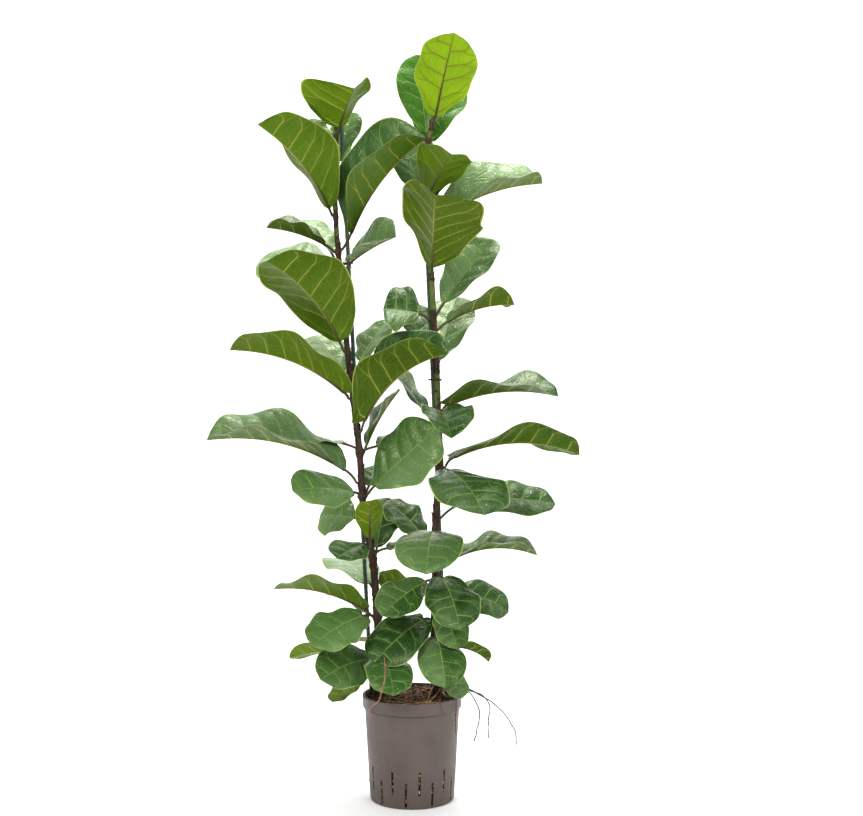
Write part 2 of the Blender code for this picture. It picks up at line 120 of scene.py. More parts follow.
def tube(path, radii, sides):
    """Points and faces of a closed round tube along a path."""
    path = np.asarray(path, float)
    tangents = np.gradient(path, axis=0)
    tangents /= np.linalg.norm(tangents, axis=1)[:, None]
    side = np.cross(tangents[0], (0.31, 0.95, 0.05))
    turns = 2.0 * math.pi * np.arange(sides) / sides
    points = []
    for point, tangent, radius in zip(path, tangents, radii):
        side = side - tangent * side.dot(tangent)
        side /= np.linalg.norm(side)
        other = np.cross(tangent, side)
        ring = np.cos(turns)[:, None] * side + np.sin(turns)[:, None] * other
        points.extend(point + radius * ring)
    faces = []
    for i in range(len(path) - 1):
        for j in range(sides):
            k = (j + 1) % sides
            faces.append((i * sides + j, i * sides + k, (i + 1) * sides + k, (i + 1) * sides + j))
    points.append(path[0])
    points.append(path[-1])
    first, last = len(points) - 2, len(points) - 1
    top = (len(path) - 1) * sides
    for j in range(sides):
        k = (j + 1) % sides
        faces.append((first, k, j))
        faces.append((last, top + j, top + k))
    return points, faces


def add_shape(points, faces, more_points, more_faces):
    """Append one shape's points and faces to another's."""
    start = len(points)
    points.extend(more_points)
    faces.extend(tuple(start + i for i in face) for face in more_faces)


# %% [markdown]
# ## Node helpers
# Materials and Geometry Nodes are both trees of nodes. Short helpers keep each tree
# readable: a value that is a socket is linked, and any other value is typed in.

# %% Helpers for node trees
def feed(tree, value, socket):
    """Link a socket, or type a plain value into it."""
    if isinstance(value, bpy.types.NodeSocket):
        tree.links.new(value, socket)
    else:
        socket.default_value = value


def add_node(tree, kind, inputs=None, **settings):
    """Add a node, set its properties, and feed its inputs by name or number."""
    node = tree.nodes.new(kind)
    for key, value in settings.items():
        setattr(node, key, value)
    for key, value in (inputs or {}).items():
        feed(tree, value, node.inputs[key])
    return node


def calc(tree, operation, *values):
    """One step of arithmetic."""
    return add_node(tree, "ShaderNodeMath", dict(enumerate(values)), operation=operation).outputs[0]


def times(tree, first, second):
    """One value multiplied by another."""
    return calc(tree, "MULTIPLY", first, second)


def plus(tree, first, second):
    """The sum of two values."""
    return calc(tree, "ADD", first, second)


def minus(tree, first, second):
    """The first value less the second."""
    return calc(tree, "SUBTRACT", first, second)


def remap(tree, value, low, high, to_low=0.0, to_high=1.0):
    """Smoothly carry a value from one range to another."""
    inputs = {"Value": value, "From Min": low, "From Max": high, "To Min": to_low, "To Max": to_high}
    return add_node(tree, "ShaderNodeMapRange", inputs, interpolation_type="SMOOTHSTEP").outputs[0]


def blend_colours(tree, factor, first, second):
    """Mix two colours; each is a socket or three numbers."""
    node = tree.nodes.new("ShaderNodeMix")
    node.data_type = "RGBA"
    for value, socket in ((factor, node.inputs[0]), (first, node.inputs[6]), (second, node.inputs[7])):
        feed(tree, (*value, 1.0) if isinstance(value, tuple) else value, socket)
    return node.outputs[2]


def speckle(tree, vector, scale, detail=3.0, roughness=0.55):
    """A soft noise between 0 and 1."""
    inputs = {"Vector": vector, "Scale": scale, "Detail": detail, "Roughness": roughness}
    return add_node(tree, "ShaderNodeTexNoise", inputs).outputs[0]


def split(tree, vector):
    """The three numbers of a vector."""
    return add_node(tree, "ShaderNodeSeparateXYZ", {0: vector}).outputs


def join(tree, x, y, z):
    """A vector from three numbers."""
    return add_node(tree, "ShaderNodeCombineXYZ", {0: x, 1: y, 2: z}).outputs[0]


def new_group(name, inputs, outputs):
    """A shader node group with named sockets; returns its tree and its two end nodes."""
    tree = bpy.data.node_groups.new(name, "ShaderNodeTree")
    for label, kind, value in inputs:
        socket = tree.interface.new_socket(label, in_out="INPUT", socket_type=kind)
        if value is not None:
            socket.default_value = value
    for label, kind in outputs:
        tree.interface.new_socket(label, in_out="OUTPUT", socket_type=kind)
    return tree, tree.nodes.new("NodeGroupInput").outputs, tree.nodes.new("NodeGroupOutput").inputs


def use_group(tree, group, inputs):
    """Place a shader node group in a material with its own values."""
    node = tree.nodes.new("ShaderNodeGroup")
    node.node_tree = group
    for key, value in inputs.items():
        feed(tree, value, node.inputs[key])
    return node.outputs


def new_material(name, roughness=0.5, specular=0.5):
    """A Principled material; returns it, its tree and its shader."""
    material = bpy.data.materials.new(name)
    material.use_nodes = True
    tree = material.node_tree
    shader = tree.nodes["Principled BSDF"]
    shader.inputs["Roughness"].default_value = roughness
    shader.inputs["Specular IOR Level"].default_value = specular
    return material, tree, shader


def paint(tree, shader, colour):
    """Give a shader its colour."""
    feed(tree, colour, shader.inputs["Base Color"])


def add_bump(tree, shader, height, distance, strength=1.0):
    """Raise the surface by a height map."""
    inputs = {"Height": height, "Distance": distance, "Strength": strength}
    tree.links.new(add_node(tree, "ShaderNodeBump", inputs).outputs[0], shader.inputs["Normal"])


def own_place(tree):
    """A piece's own coordinates, in metres."""
    return tree.nodes.new("ShaderNodeTexCoord").outputs["Object"]


# %% [markdown]
# ## Stage and light
# The plant stands on a plain pale floor that curves up into a backdrop, like a roll of
# studio paper. Three large soft lamps and a pale sky light the plant, and a fourth washes
# the paper behind it. Glossy leaves mirror that bright paper, which gives them broad pale
# sheens against their dark green. On the upper faces, more pale sheen is painted into the colour.

# %% Floor, sky and lamps
FLOOR_HALF_WIDTH = 7.0
FLOOR_FRONT = -6.0
BACKDROP_FOOT = 2.2
BACKDROP_BEND = 1.4
BACKDROP_HEIGHT = 5.0


def build_backdrop():
    """A floor strip that bends up into a wall."""
    line = [(FLOOR_FRONT, 0.0), (0.0, 0.0), (BACKDROP_FOOT, 0.0)]
    for k in range(1, 17):
        turn = math.pi / 2 * k / 16
        line.append((BACKDROP_FOOT + BACKDROP_BEND * math.sin(turn), BACKDROP_BEND * (1 - math.cos(turn))))
    line.append((BACKDROP_FOOT + BACKDROP_BEND, BACKDROP_HEIGHT))
    points = [(x, y, z) for y, z in line for x in (-FLOOR_HALF_WIDTH, FLOOR_HALF_WIDTH)]
    faces = [(2 * k, 2 * k + 1, 2 * k + 3, 2 * k + 2) for k in range(len(line) - 1)]
    paper, _, shader = new_material("studio_paper", roughness=0.9, specular=0.2)
    shader.inputs["Base Color"].default_value = (0.92, 0.92, 0.92, 1.0)
    backdrop = new_piece("backdrop", points, faces, [paper], sharp_degrees=None)


def add_lamp(name, place, target, size, power, colour):
    """A square soft lamp aimed at a point."""
    lamp_data = bpy.data.lights.new(name, "AREA")
    lamp_data.shape = "SQUARE"
    lamp_data.size = size
    lamp_data.energy = power
    lamp_data.color = colour
    lamp = bpy.data.objects.new(name, lamp_data)
    lamp.location = place
    aim = Vector(target) - Vector(place)
    lamp.rotation_euler = aim.to_track_quat("-Z", "Y").to_euler()
    bpy.context.scene.collection.objects.link(lamp)


build_backdrop()
sky = bpy.data.worlds.new("sky")
sky.use_nodes = True
sky.node_tree.nodes["Background"].inputs["Color"].default_value = (1.0, 1.0, 1.0, 1.0)
sky.node_tree.nodes["Background"].inputs["Strength"].default_value = 0.62
bpy.context.scene.world = sky
add_lamp("key_lamp", (-1.5, -2.4, 2.9), (0.0, 0.0, 0.8), 1.3, 74.0, (1.0, 0.99, 0.97))
add_lamp("fill_lamp", (2.1, -2.1, 1.9), (0.0, 0.0, 0.7), 1.6, 34.0, (0.97, 0.99, 1.0))
add_lamp("top_lamp", (0.3, 0.6, 3.2), (0.0, 0.0, 0.9), 1.6, 56.0, (1.0, 1.0, 1.0))
add_lamp("paper_lamp", (0.0, 1.0, 3.9), (0.0, 3.3, 1.3), 1.6, 130.0, (1.0, 1.0, 1.0))

# %% [markdown]
# ## Leaf finishes
# A fiddle leaf is glossy and dark above, matt and paler below. Yellowish veins leave the
# midrib in pairs and arch forward near the margin, with a fine net between them. The
# pattern has to follow each bent blade, so it can't be drawn in object space. Every leaf
# carries its own surface measures instead, and one shader group draws the veins from them:
# distance from the midrib, distance along it, and two counts, one for each half of the
# blade, that are whole at each side vein. Near the margin each vein forks.

# %% Leaf vein group
VEIN_JOIN = 0.40              # near the margin a vein runs on towards the next one
VEIN_FORK = 0.42              # and its lower branch turns back by this much
NET_STRETCH = 0.42            # the net's meshes are longer along the blade than across it

vein_group, given, drawn = new_group(
    "leaf_vein_pattern",
    [("Across", "NodeSocketFloat", 0.0), ("Along", "NodeSocketFloat", 0.0),
     ("Left Count", "NodeSocketFloat", 0.0), ("Right Count", "NodeSocketFloat", 0.0),
     ("Spacing", "NodeSocketFloat", 0.03), ("Edge", "NodeSocketFloat", 0.0),
     ("Reach", "NodeSocketFloat", 0.0), ("Side Width", "NodeSocketFloat", 0.0012),
     ("Rib Width", "NodeSocketFloat", 0.0026)],
    [("Side Veins", "NodeSocketFloat"), ("Midrib", "NodeSocketFloat"), ("Net", "NodeSocketFloat"),
     ("Halo", "NodeSocketFloat"), ("Margin", "NodeSocketFloat")])
t = vein_group
surface = join(t, given["Across"], times(t, given["Along"], NET_STRETCH), 0.0)
right_side = calc(t, "LESS_THAN", given["Across"], 0.0)
left_side = minus(t, 1.0, right_side)
own_count = plus(t, times(t, given["Left Count"], left_side),
                 times(t, given["Right Count"], right_side))
wander = times(t, minus(t, speckle(t, surface, 34.0, 2.0), 0.5), 0.16)
count = plus(t, own_count, wander)


def distance_to_vein(shifted):
    """Metres from the nearest whole count."""
    nearest = calc(t, "ABSOLUTE", minus(t, calc(t, "FRACT", plus(t, shifted, 0.5)), 0.5))
    return times(t, nearest, given["Spacing"])


joining = minus(t, count, remap(t, given["Edge"], 0.60, 1.05, 0.0, VEIN_JOIN))
turning = plus(t, count, remap(t, given["Edge"], 0.42, 1.02, 0.0, VEIN_FORK))
away = distance_to_vein(joining)
branch_away = distance_to_vein(turning)
side_width = times(t, given["Side Width"],
                  minus(t, 1.0, times(t, given["Edge"], 0.5)))
fade = remap(t, given["Edge"], 0.86, 0.98, 1.0, 0.0)
main_line = remap(t, away, times(t, side_width, 0.35), side_width, 1.0, 0.0)
branch_line = times(t, remap(t, branch_away, 0.0, times(t, side_width, 0.8), 0.8, 0.0),
                   remap(t, given["Edge"], 0.42, 0.52))
feed(t, times(t, calc(t, "MAXIMUM", main_line, branch_line), fade), drawn["Side Veins"])
rib_width = times(t, given["Rib Width"],
                 minus(t, 1.0, times(t, given["Reach"], 0.78)))
off_rib = calc(t, "ABSOLUTE", given["Across"])
feed(t, remap(t, off_rib, times(t, rib_width, 0.5), rib_width, 1.0, 0.0), drawn["Midrib"])
cells = add_node(t, "ShaderNodeTexVoronoi", {"Vector": surface, "Scale": 240.0, "Randomness": 0.9},
                 feature="DISTANCE_TO_EDGE").outputs[0]
broad_cells = add_node(t, "ShaderNodeTexVoronoi", {"Vector": surface, "Scale": 78.0, "Randomness": 0.85},
                       feature="DISTANCE_TO_EDGE").outputs[0]
fine_net = remap(t, cells, 0.02, 0.14, 0.45, 0.0)
broad_net = remap(t, broad_cells, 0.005, 0.055, 1.0, 0.0)
feed(t, calc(t, "MAXIMUM", fine_net, broad_net), drawn["Net"])
side_halo = remap(t, away, 0.0, 0.0070, 1.0, 0.0)
rib_halo = remap(t, off_rib, 0.0, 0.0080, 1.0, 0.0)
feed(t, calc(t, "MAXIMUM", times(t, side_halo, fade), rib_halo), drawn["Halo"])
feed(t, remap(t, given["Edge"], 0.955, 0.985), drawn["Margin"])
print("leaf vein group:", len(t.nodes), "nodes")

# %% [markdown]
# Both faces of the blade read the same stored measures and the same vein group. Each leaf
# also stores its age, from 0, old and dark, to 1, freshly opened, a tint, and how much
# painted sheen, a pale wash that stands in for reflections, lies on its left and right
# halves. So a few materials cover the whole plant, and no two leaves look alike.

# %% Leaf materials
LEAF_MEASURES = "leaf_place"      # across, along, metres between side veins
LEAF_COUNTS = "leaf_counts"       # side veins counted on the left and right, painted sheen on the right
LEAF_TRAITS = "leaf_traits"       # age, tint, painted sheen on the left


def stored(tree, name):
    """The three numbers of a measure stored on the mesh."""
    return split(tree, add_node(tree, "ShaderNodeAttribute", attribute_name=name).outputs["Vector"])


def leaf_shading(tree, side_width, rib_width):
    """Reads a leaf's stored measures and draws its veins."""
    place, counts, traits = (stored(tree, name) for name in (LEAF_MEASURES, LEAF_COUNTS, LEAF_TRAITS))
    chart = split(tree, add_node(tree, "ShaderNodeUVMap", uv_map="leaf_chart").outputs[0])
    edge = calc(tree, "ABSOLUTE", minus(tree, times(tree, chart[0], 2.0), 1.0))
    veins = use_group(tree, vein_group, {
        "Across": place[0], "Along": place[1], "Spacing": place[2], "Left Count": counts[0],
        "Right Count": counts[1], "Edge": edge, "Reach": chart[1], "Side Width": side_width,
        "Rib Width": rib_width})
    return place, counts, traits, veins


def vein_height(tree, veins, net_share):
    """One height map from the midrib, side veins and net."""
    lines = calc(tree, "MAXIMUM", veins["Side Veins"], veins["Midrib"])
    return calc(tree, "MAXIMUM", lines, times(tree, veins["Net"], net_share))


leaf_upper, t, shader = new_material("leaf_upper_gloss", specular=0.5)
place, counts, traits, veins = leaf_shading(t, 0.0009, 0.0017)
spot = own_place(t)
cloud = speckle(t, spot, 26.0, 4.0)
dark = blend_colours(t, cloud, (0.004, 0.023, 0.004), (0.013, 0.062, 0.008))
fresh = blend_colours(t, cloud, (0.040, 0.165, 0.005), (0.070, 0.240, 0.007))
green = blend_colours(t, traits[0], dark, fresh)
warm = blend_colours(t, times(t, traits[1], 0.35), green, (0.030, 0.075, 0.010))
lit = blend_colours(t, times(t, veins["Halo"], 0.25), warm, (0.050, 0.150, 0.025))
# Painted sheen: a pale grey-green mixed into the upper face, by half and in random patches, stands in for
# reflections of the bright paper; young leaves get less of it.
half = remap(t, place[0], -0.004, 0.004)
right_painted_sheen = times(t, counts[2], minus(t, 1.0, half))
half_painted_sheen = plus(t, times(t, traits[2], half), right_painted_sheen)
sheen_patches = times(t, remap(t, speckle(t, spot, 15.0, 3.0, 0.6), 0.52, 0.68), 0.24)
painted_sheen = times(t, calc(t, "MAXIMUM", half_painted_sheen, sheen_patches), remap(t, traits[0], 0.3, 0.7, 1.0, 0.1))
sheened = blend_colours(t, painted_sheen, lit, (0.180, 0.285, 0.110))
netted = blend_colours(t, times(t, veins["Net"], 0.07), sheened, (0.090, 0.220, 0.050))
edged = blend_colours(t, times(t, veins["Margin"], 0.85), netted, (0.330, 0.430, 0.110))
lines = calc(t, "MAXIMUM", veins["Side Veins"], veins["Midrib"])
paint(t, shader, blend_colours(t, times(t, lines, 0.80), edged, (0.270, 0.410, 0.095)))
film = speckle(t, spot, 60.0, 4.0, 0.7)
gloss = remap(t, film, 0.3, 0.75, 0.20, 0.38)
feed(t, remap(t, traits[0], 0.4, 0.8, 0.40, 0.2), shader.inputs["Specular IOR Level"])
shader.inputs["Specular Tint"].default_value = (0.88, 1.0, 0.55, 1.0)
feed(t, plus(t, gloss, times(t, lines, 0.12)), shader.inputs["Roughness"])
grain = times(t, speckle(t, spot, 420.0, 2.0), 0.10)
puckers = times(t, speckle(t, spot, 34.0, 1.0), 1.5)
sunk = times(t, vein_height(t, veins, 0.35), -1.0)
add_bump(t, shader, plus(t, plus(t, sunk, grain), puckers), 0.0011, 0.9)

leaf_under, t, shader = new_material("leaf_under_matt", specular=0.2)
shader.inputs["Specular Tint"].default_value = (0.95, 1.0, 0.50, 1.0)
place, counts, traits, veins = leaf_shading(t, 0.0013, 0.0030)
spot = own_place(t)
cloud = speckle(t, spot, 18.0, 3.0)
olive = blend_colours(t, cloud, (0.036, 0.070, 0.002), (0.054, 0.096, 0.003))
leafy = blend_colours(t, cloud, (0.024, 0.074, 0.002), (0.037, 0.104, 0.003))
dark = blend_colours(t, traits[1], leafy, olive)
fresh = blend_colours(t, cloud, (0.190, 0.345, 0.001), (0.265, 0.430, 0.002))
green = blend_colours(t, traits[0], dark, fresh)
lit = blend_colours(t, times(t, veins["Halo"], 0.20), green, (0.115, 0.190, 0.012))
netted = blend_colours(t, times(t, veins["Net"], 0.26), lit, (0.170, 0.230, 0.025))
edged = blend_colours(t, times(t, veins["Margin"], 0.85), netted, (0.360, 0.420, 0.090))
side_tone = blend_colours(t, remap(t, traits[0], 0.4, 0.9), (0.400, 0.400, 0.075), (0.200, 0.130, 0.015))
with_sides = blend_colours(t, times(t, veins["Side Veins"], 0.72), edged, side_tone)
rib_tone = blend_colours(t, remap(t, place[1], 0.02, 0.13), (0.055, 0.036, 0.012), (0.200, 0.190, 0.035))
with_rib = blend_colours(t, veins["Midrib"], with_sides, rib_tone)
specks = add_node(t, "ShaderNodeTexVoronoi", {"Vector": spot, "Scale": 95.0}).outputs[0]
patchy = remap(t, speckle(t, spot, 17.0, 2.0), 0.56, 0.68)
speck_mask = times(t, remap(t, specks, 0.10, 0.26, 1.0, 0.0), patchy)
spotted = times(t, speck_mask, remap(t, traits[0], 0.35, 0.7))
paint(t, shader, blend_colours(t, times(t, spotted, 0.8), with_rib, (0.080, 0.040, 0.012)))
feed(t, remap(t, speckle(t, spot, 70.0, 3.0), 0.3, 0.7, 0.42, 0.58), shader.inputs["Roughness"])
grain = times(t, speckle(t, spot, 300.0, 2.0), 0.15)
puckers = times(t, speckle(t, spot, 40.0, 2.0), 1.2)
add_bump(t, shader, plus(t, plus(t, vein_height(t, veins, 0.4), grain), puckers), 0.0012, 0.9)

leaf_stalk, t, shader = new_material("leaf_stalk", roughness=0.5, specular=0.3)
along_rib = stored(t, LEAF_MEASURES)[1]
age = stored(t, LEAF_TRAITS)[0]
spot = own_place(t)
cloud = speckle(t, spot, 90.0, 3.0)
base_tone = blend_colours(t, cloud, (0.040, 0.030, 0.012), (0.072, 0.074, 0.018))
rib_far = blend_colours(t, remap(t, age, 0.4, 0.9), (0.230, 0.240, 0.050), (0.110, 0.066, 0.012))
paint(t, shader, blend_colours(t, remap(t, along_rib, 0.0, 0.13), base_tone, rib_far))
add_bump(t, shader, speckle(t, spot, 500.0, 2.0), 0.0003, 0.6)
print("leaf finishes:", leaf_upper.name, leaf_under.name, leaf_stalk.name)

# %% [markdown]
# ## Where the leaves grow
# Each leaf is one row of given measures: the height of its node on the stem, the way it
# points, its stalk, how its blade rises and droops, and its size, roll, twist and fold.
# The rows are the same ones that shaped the measured model. Eighteen small or half-hidden
# leaves are in this table only, because the model stops at sixty solids.

# %% Stems and leaf rows
SOIL_TOP = 0.182
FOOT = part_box("stem_left")[0].z
STEMS = {
    "left": [(-0.058, 0, FOOT), (-0.058, 0, 0.21), (-0.063, 0, 0.33), (-0.070, 0, 0.42),
             (-0.087, 0, 0.52), (-0.095, 0, 0.63), (-0.108, 0, 0.74), (-0.118, 0, 0.83),
             (-0.128, 0, 0.94), (-0.135, 0, 1.02), (-0.138, 0, 1.10), (-0.136, 0, 1.20),
             (-0.134, 0, 1.235)],
    "right": [(0.044, 0, FOOT), (0.044, 0, 0.24), (0.040, 0, 0.31), (0.043, 0, 0.39),
              (0.041, 0, 0.46), (0.045, 0, 0.54), (0.051, 0, 0.60), (0.047, 0, 0.69),
              (0.045, 0, 0.76), (0.040, 0, 0.84), (0.036, 0, 0.93), (0.028, 0, 1.02),
              (0.023, 0, 1.09), (0.024, 0, 1.15), (0.031, 0, 1.19), (0.041, 0, 1.235)],
}

# number, height, heading, stalk, stalk_rise, rise, droop, length, width, roll, twist, fold, shape
# Heights and lengths are in centimetres and angles in degrees. Heading 0 points right and
# -90 to the front; shape runs from 0, fiddle, to 1, round.
LEAF_ROWS = {
    "right": [
        (1, 120.8, -50, 2, 85, 72, 4, 14.5, 13, -5, 0, 8, 0.6),
        (2, 118, 106, 2, 85, 70, 6, 16.5, 9, -15, 0, 20, 0.5),
        (3, 116.5, 72, 2, 80, 58, 8, 17.5, 11, 5, 0, 15, 0.5),
        (4, 107.3, -68, 2, 70, 34, 10, 11.5, 11.5, -20, 0, 42, 0.6),
        (5, 107.3, 25, 1, 30, 60, 10, 6, 6, 0, 0, 15, 0.8),
        (6, 103, 12, 2, 60, 37, 34, 20.5, 15.5, 30, -15, 42, 0.4),
        (7, 94, -88, 2, 70, 45, 16, 18.5, 18, -23, 0, 40, 0.45),
        (8, 87.5, 36, 2.5, 60, 50, 8, 16.5, 9.5, 28, 0, 28, 0.4),
        (9, 86.6, 177, 2.2, 45, 14, 12, 6.4, 12, -45, 0, 20, 0.7),
        (10, 84.8, -5, 2, 50, 32, 35, 12.5, 10, 20, -45, 35, 0.4),
        (11, 79, 130, 2, 60, 58, 20, 12.5, 9, 0, 0, 20, 0.4),
        (12, 77.5, 75, 2, 70, 50, 14, 17.5, 10, 0, 0, 15, 0.4),
        (13, 67, 145, 3, 60, 50, 12, 17, 9, 10, 0, 15, 0.4),
        (14, 70.3, -5, 1.2, 75, 24, 38, 20, 13, -22, 45, 32, 0.4),
        (15, 70, -80, 2, 10, -5, 34, 11, 10.5, 0, 0, 38, 0.8),
        (16, 60, -5, 2.4, 75, 26, 48, 22.8, 13, 10, -45, 28, 0.4),
        (17, 59, -66, 3, 40, -8, 32, 16, 14.5, 0, 0, 12, 0.7),
        (18, 50.8, 10, 6, 50, 8, 20, 16, 9.5, 35, 0, 15, 0.65),
        (19, 42, -2, 2.4, 45, 28, 50, 15.8, 10, 10, -10, 34, 0.4),
        (20, 48.2, -96, 2.5, 20, 4, 60, 13.5, 12, 0, 0, 15, 0.8),
        (21, 40.5, -68, 2.5, 20, -25, 40, 11, 10.4, 0, 0, 8, 0.9),
        (22, 36.5, 10, 2.5, 30, 0, 40, 11, 8.5, 40, 0, 15, 0.6),
        (23, 34.7, -58, 2, 10, -36, 32, 7.5, 7.2, 0, 0, 10, 1),
        (24, 26.5, 15, 2.5, 40, -2, 45, 7.5, 4.5, -25, 0, 35, 0.6),
        (25, 29.6, -80, 2, 10, -20, 44, 10.5, 8.8, 0, 0, 10, 1),
        (26, 23.5, -45, 1.2, 10, -28, 30, 6, 5.5, 10, 0, 10, 1),
        (27, 107, 118, 2, 70, 60, 12, 18, 10, -10, 0, 20, 0.4),
        (28, 45.5, 150, 2, 50, 48, 15, 10, 8.5, -15, 0, 15, 0.4),
        (29, 37, 165, 3, 30, 12, 15, 7, 8, 50, 0, 10, 0.5),
        (30, 39.5, -142, 1.4, 30, -18, 20, 11, 8.2, -30, 0, 15, 0.5),
        (31, 32.5, -145, 1.5, 40, -22, 20, 12.5, 10.5, -25, 0, 10, 0.8),
    ],
    "left": [
        (1, 118.8, -62, 2, 75, 50, 12, 8.5, 17, 8, 0, 45, 0.7),
        (2, 105.2, -152, 1.2, 70, 64, 36, 19.5, 15, 30, -25, 42, 0.4),
        (3, 99, -20, 3.4, 50, 66, 34, 21.5, 19.5, 36, 0, 56, 0.5),
        (5, 113, 65, 2, 75, 66, 10, 11, 6.5, 0, 0, 20, 0.4),
        (6, 115, 150, 2, 60, 65, 10, 7, 5, -20, 0, 20, 0.4),
        (7, 98.7, -172, 2, 50, 28, 25, 10.8, 10.5, -10, 0, 35, 0.4),
        (8, 97, 140, 2, 60, 50, 20, 10, 8.5, 0, 0, 20, 0.4),
        (9, 94.8, -34, 3.6, 62, 28, 14, 9.5, 13, 34, 0, 36, 0.9),
        (10, 93.2, 155, 2.5, 50, 26, 25, 14.3, 15, -30, 0, 10, 0.5),
        (11, 80.8, -138, 2, 60, 60, 38, 21, 17.5, 23, -5, 30, 0.6),
        (12, 72.4, -177, 1.2, 70, 42, 42, 22, 13.5, 25, -15, 35, 0.4),
        (13, 66.5, -28, 2, 80, 62, 52, 21, 16.5, 18, 0, 62, 0.5),
        (14, 62.5, 33, 1.6, 75, 64, 20, 12, 8.5, -20, 0, 30, 0.4),
        (15, 76.6, 46, 3, 60, 56, 18, 10.5, 8.5, 0, 0, 15, 0.4),
        (16, 75, 135, 2, 60, 48, 15, 11, 10, -10, 0, 15, 0.4),
        (17, 57.2, -175, 3, 65, 34, 42, 25.5, 15.5, -17, 5, 40, 0.4),
        (18, 63.5, 150, 3, 20, 8, 30, 8, 6.5, 0, 0, 15, 0.8),
        (19, 63, 30, 3, 20, 8, 20, 6.5, 8, 25, 0, 10, 0.6),
        (20, 55, -6, 2, 60, 45, 5, 15.5, 13, 58, 0, 12, 0.5),
        (21, 55.3, -150, 0.9, 25, 14, 20, 12, 10.5, -36, 0, 12, 0.5),
        (22, 55, 60, 2, 50, 45, 20, 6.5, 6, 0, 0, 15, 0.6),
        (23, 45.5, -88, 2, 60, 62, 15, 9, 5.4, 12, 0, 32, 0.5),
        (24, 46, -126, 1, 20, -2, 20, 7.5, 7.5, -20, 0, 15, 0.7),
        (25, 50.2, 150, 1.6, 30, 8, 15, 7.5, 9, -50, 0, 10, 0.5),
        (27, 42.5, 75, 3, 60, 62, 15, 10.5, 9, 0, 0, 15, 0.4),
        (28, 44.5, 10, 2, 40, 5, 25, 7, 8.5, 10, 0, 25, 0.4),
        (31, 33, -178, 2.2, 50, 32, 38, 16.5, 12, 35, -30, 25, 0.45),
        (32, 37.5, 115, 2, 40, 22, 24, 16, 10.5, 0, 0, 10, 0.5),
        (33, 33.2, -140, 2.5, 20, -8, 24, 11.6, 10, -25, 0, 10, 0.8),
        (34, 25.6, 165, 2, 30, 8, 30, 14.5, 6, 35, 0, 20, 0.6),
        (35, 25.4, -137, 1.0, 20, 3, 26, 11.8, 9.3, -40, 0, 10, 0.8),
        (36, 23, 165, 2, 10, -30, 25, 8.5, 6.5, 30, 0, 10, 0.8),
        (38, 26.2, -77, 2, 10, 2, 52, 11.8, 8.5, 0, 0, 12, 0.9),
        (39, 28, 105, 2, 20, -5, 20, 6, 6, 10, 0, 10, 0.8),
    ],
}
print("leaves:", {side: len(rows) for side, rows in LEAF_ROWS.items()})

# %% [markdown]
# ## Growing a blade
# The midrib is a curve that leaves the stalk and droops. Rows of the grid follow the side
# veins rather than crossing the blade squarely, so a ridge or a hollow along a vein needs
# only three rows. Side veins alternate from left to right, half a count apart. The outline
# has a waist and a broad end; its base is pulled back into two small lobes. Between the
# veins the blade swells, and its margin waves.

# %% Blade and stalk surfaces
LEAF_THICKNESS = 0.0010
PETIOLE_RADIUS = 0.0025
MARGIN_RELAX = math.radians(-20.0)    # the fold opens by this much towards the margin
VEIN_LEAN = 0.25                      # how far a side vein runs forward, as a share of the blade
VEIN_ARCH = 0.06                      # and how much more it arches near the margin
FAN_FOOT = 0.035                      # the lowest pair fans out of the base within this share
FIRST_VEIN = 0.030                    # where the lowest pair starts
LAST_VEIN = 0.90                      # and where the last one may start
VEIN_GAP = 0.040                      # usual distance between side veins, in metres
VEIN_TILT = 0.85                      # a side vein lies about this much closer than its count says
LOBE = 0.045                          # how far the base lobes of a fiddle-shaped leaf reach back
ROUND_LOBE = 0.13                     # and those of a round or a broad-based leaf
BASE_TAPER = 0.38                     # a fiddle-shaped leaf narrows towards its stalk by this share
LOBE_FOOT = 0.10                      # the lobes fade out over this share of the blade
TIP = 0.022                           # little point at the blade's end
BASE_ROWS = (0.0, 0.006, 0.013, 0.021, 0.030, 0.040, 0.052, 0.067, 0.085, 0.106, 0.130)
ROW_GAP = 0.0045                      # metres between the other rows of the grid
ACROSS_COLUMNS = (0.0, 0.03, 0.10, 0.21, 0.34, 0.47, 0.60, 0.72, 0.82, 0.90, 0.96, 1.0)
RIB_SIDES = 8
BLADE_SHARP = 62.0            # degrees; only the thin margin stays sharp
STALK_CLEAR = 0.0006          # a stalk bends away this far outside the stem
STALK_STEPS = 8
BLADE_STEPS = 100
STEM_SPANS = 3
STEM_RADIUS = 0.0075          # near the soil
STEM_THINNING = 0.0035        # how much of it is gone at the top
TAPER_FOOT = 0.15             # the taper starts at this height
TAPER_HEIGHT = 1.05           # and runs over this much


def stem_radius(height):
    """The measured stem's taper."""
    return STEM_RADIUS - STEM_THINNING * min(1.0, max(0.0, (height - TAPER_FOOT) / TAPER_HEIGHT))


def half_width(u, shape):
    """Half width at share u of the blade's length: fiddle with a waist, or nearly round."""
    v = np.clip(u, 0.0, 1.0) ** (1.45 - 0.40 * shape)
    waist = 1.0 - (0.24 - 0.22 * shape) * np.exp(-((u - 0.27) / 0.13) ** 2)
    return np.sqrt(np.clip(1.0 - np.abs(2.0 * v - 1.0) ** 2.3, 0.0, None)) * waist


def direction(heading, rise):
    """Unit vectors for a heading and one or more rises above the horizontal."""
    rise = np.asarray(rise, float)
    flat = np.cos(rise)
    return np.stack([flat * math.cos(heading), flat * math.sin(heading), np.sin(rise)], -1)


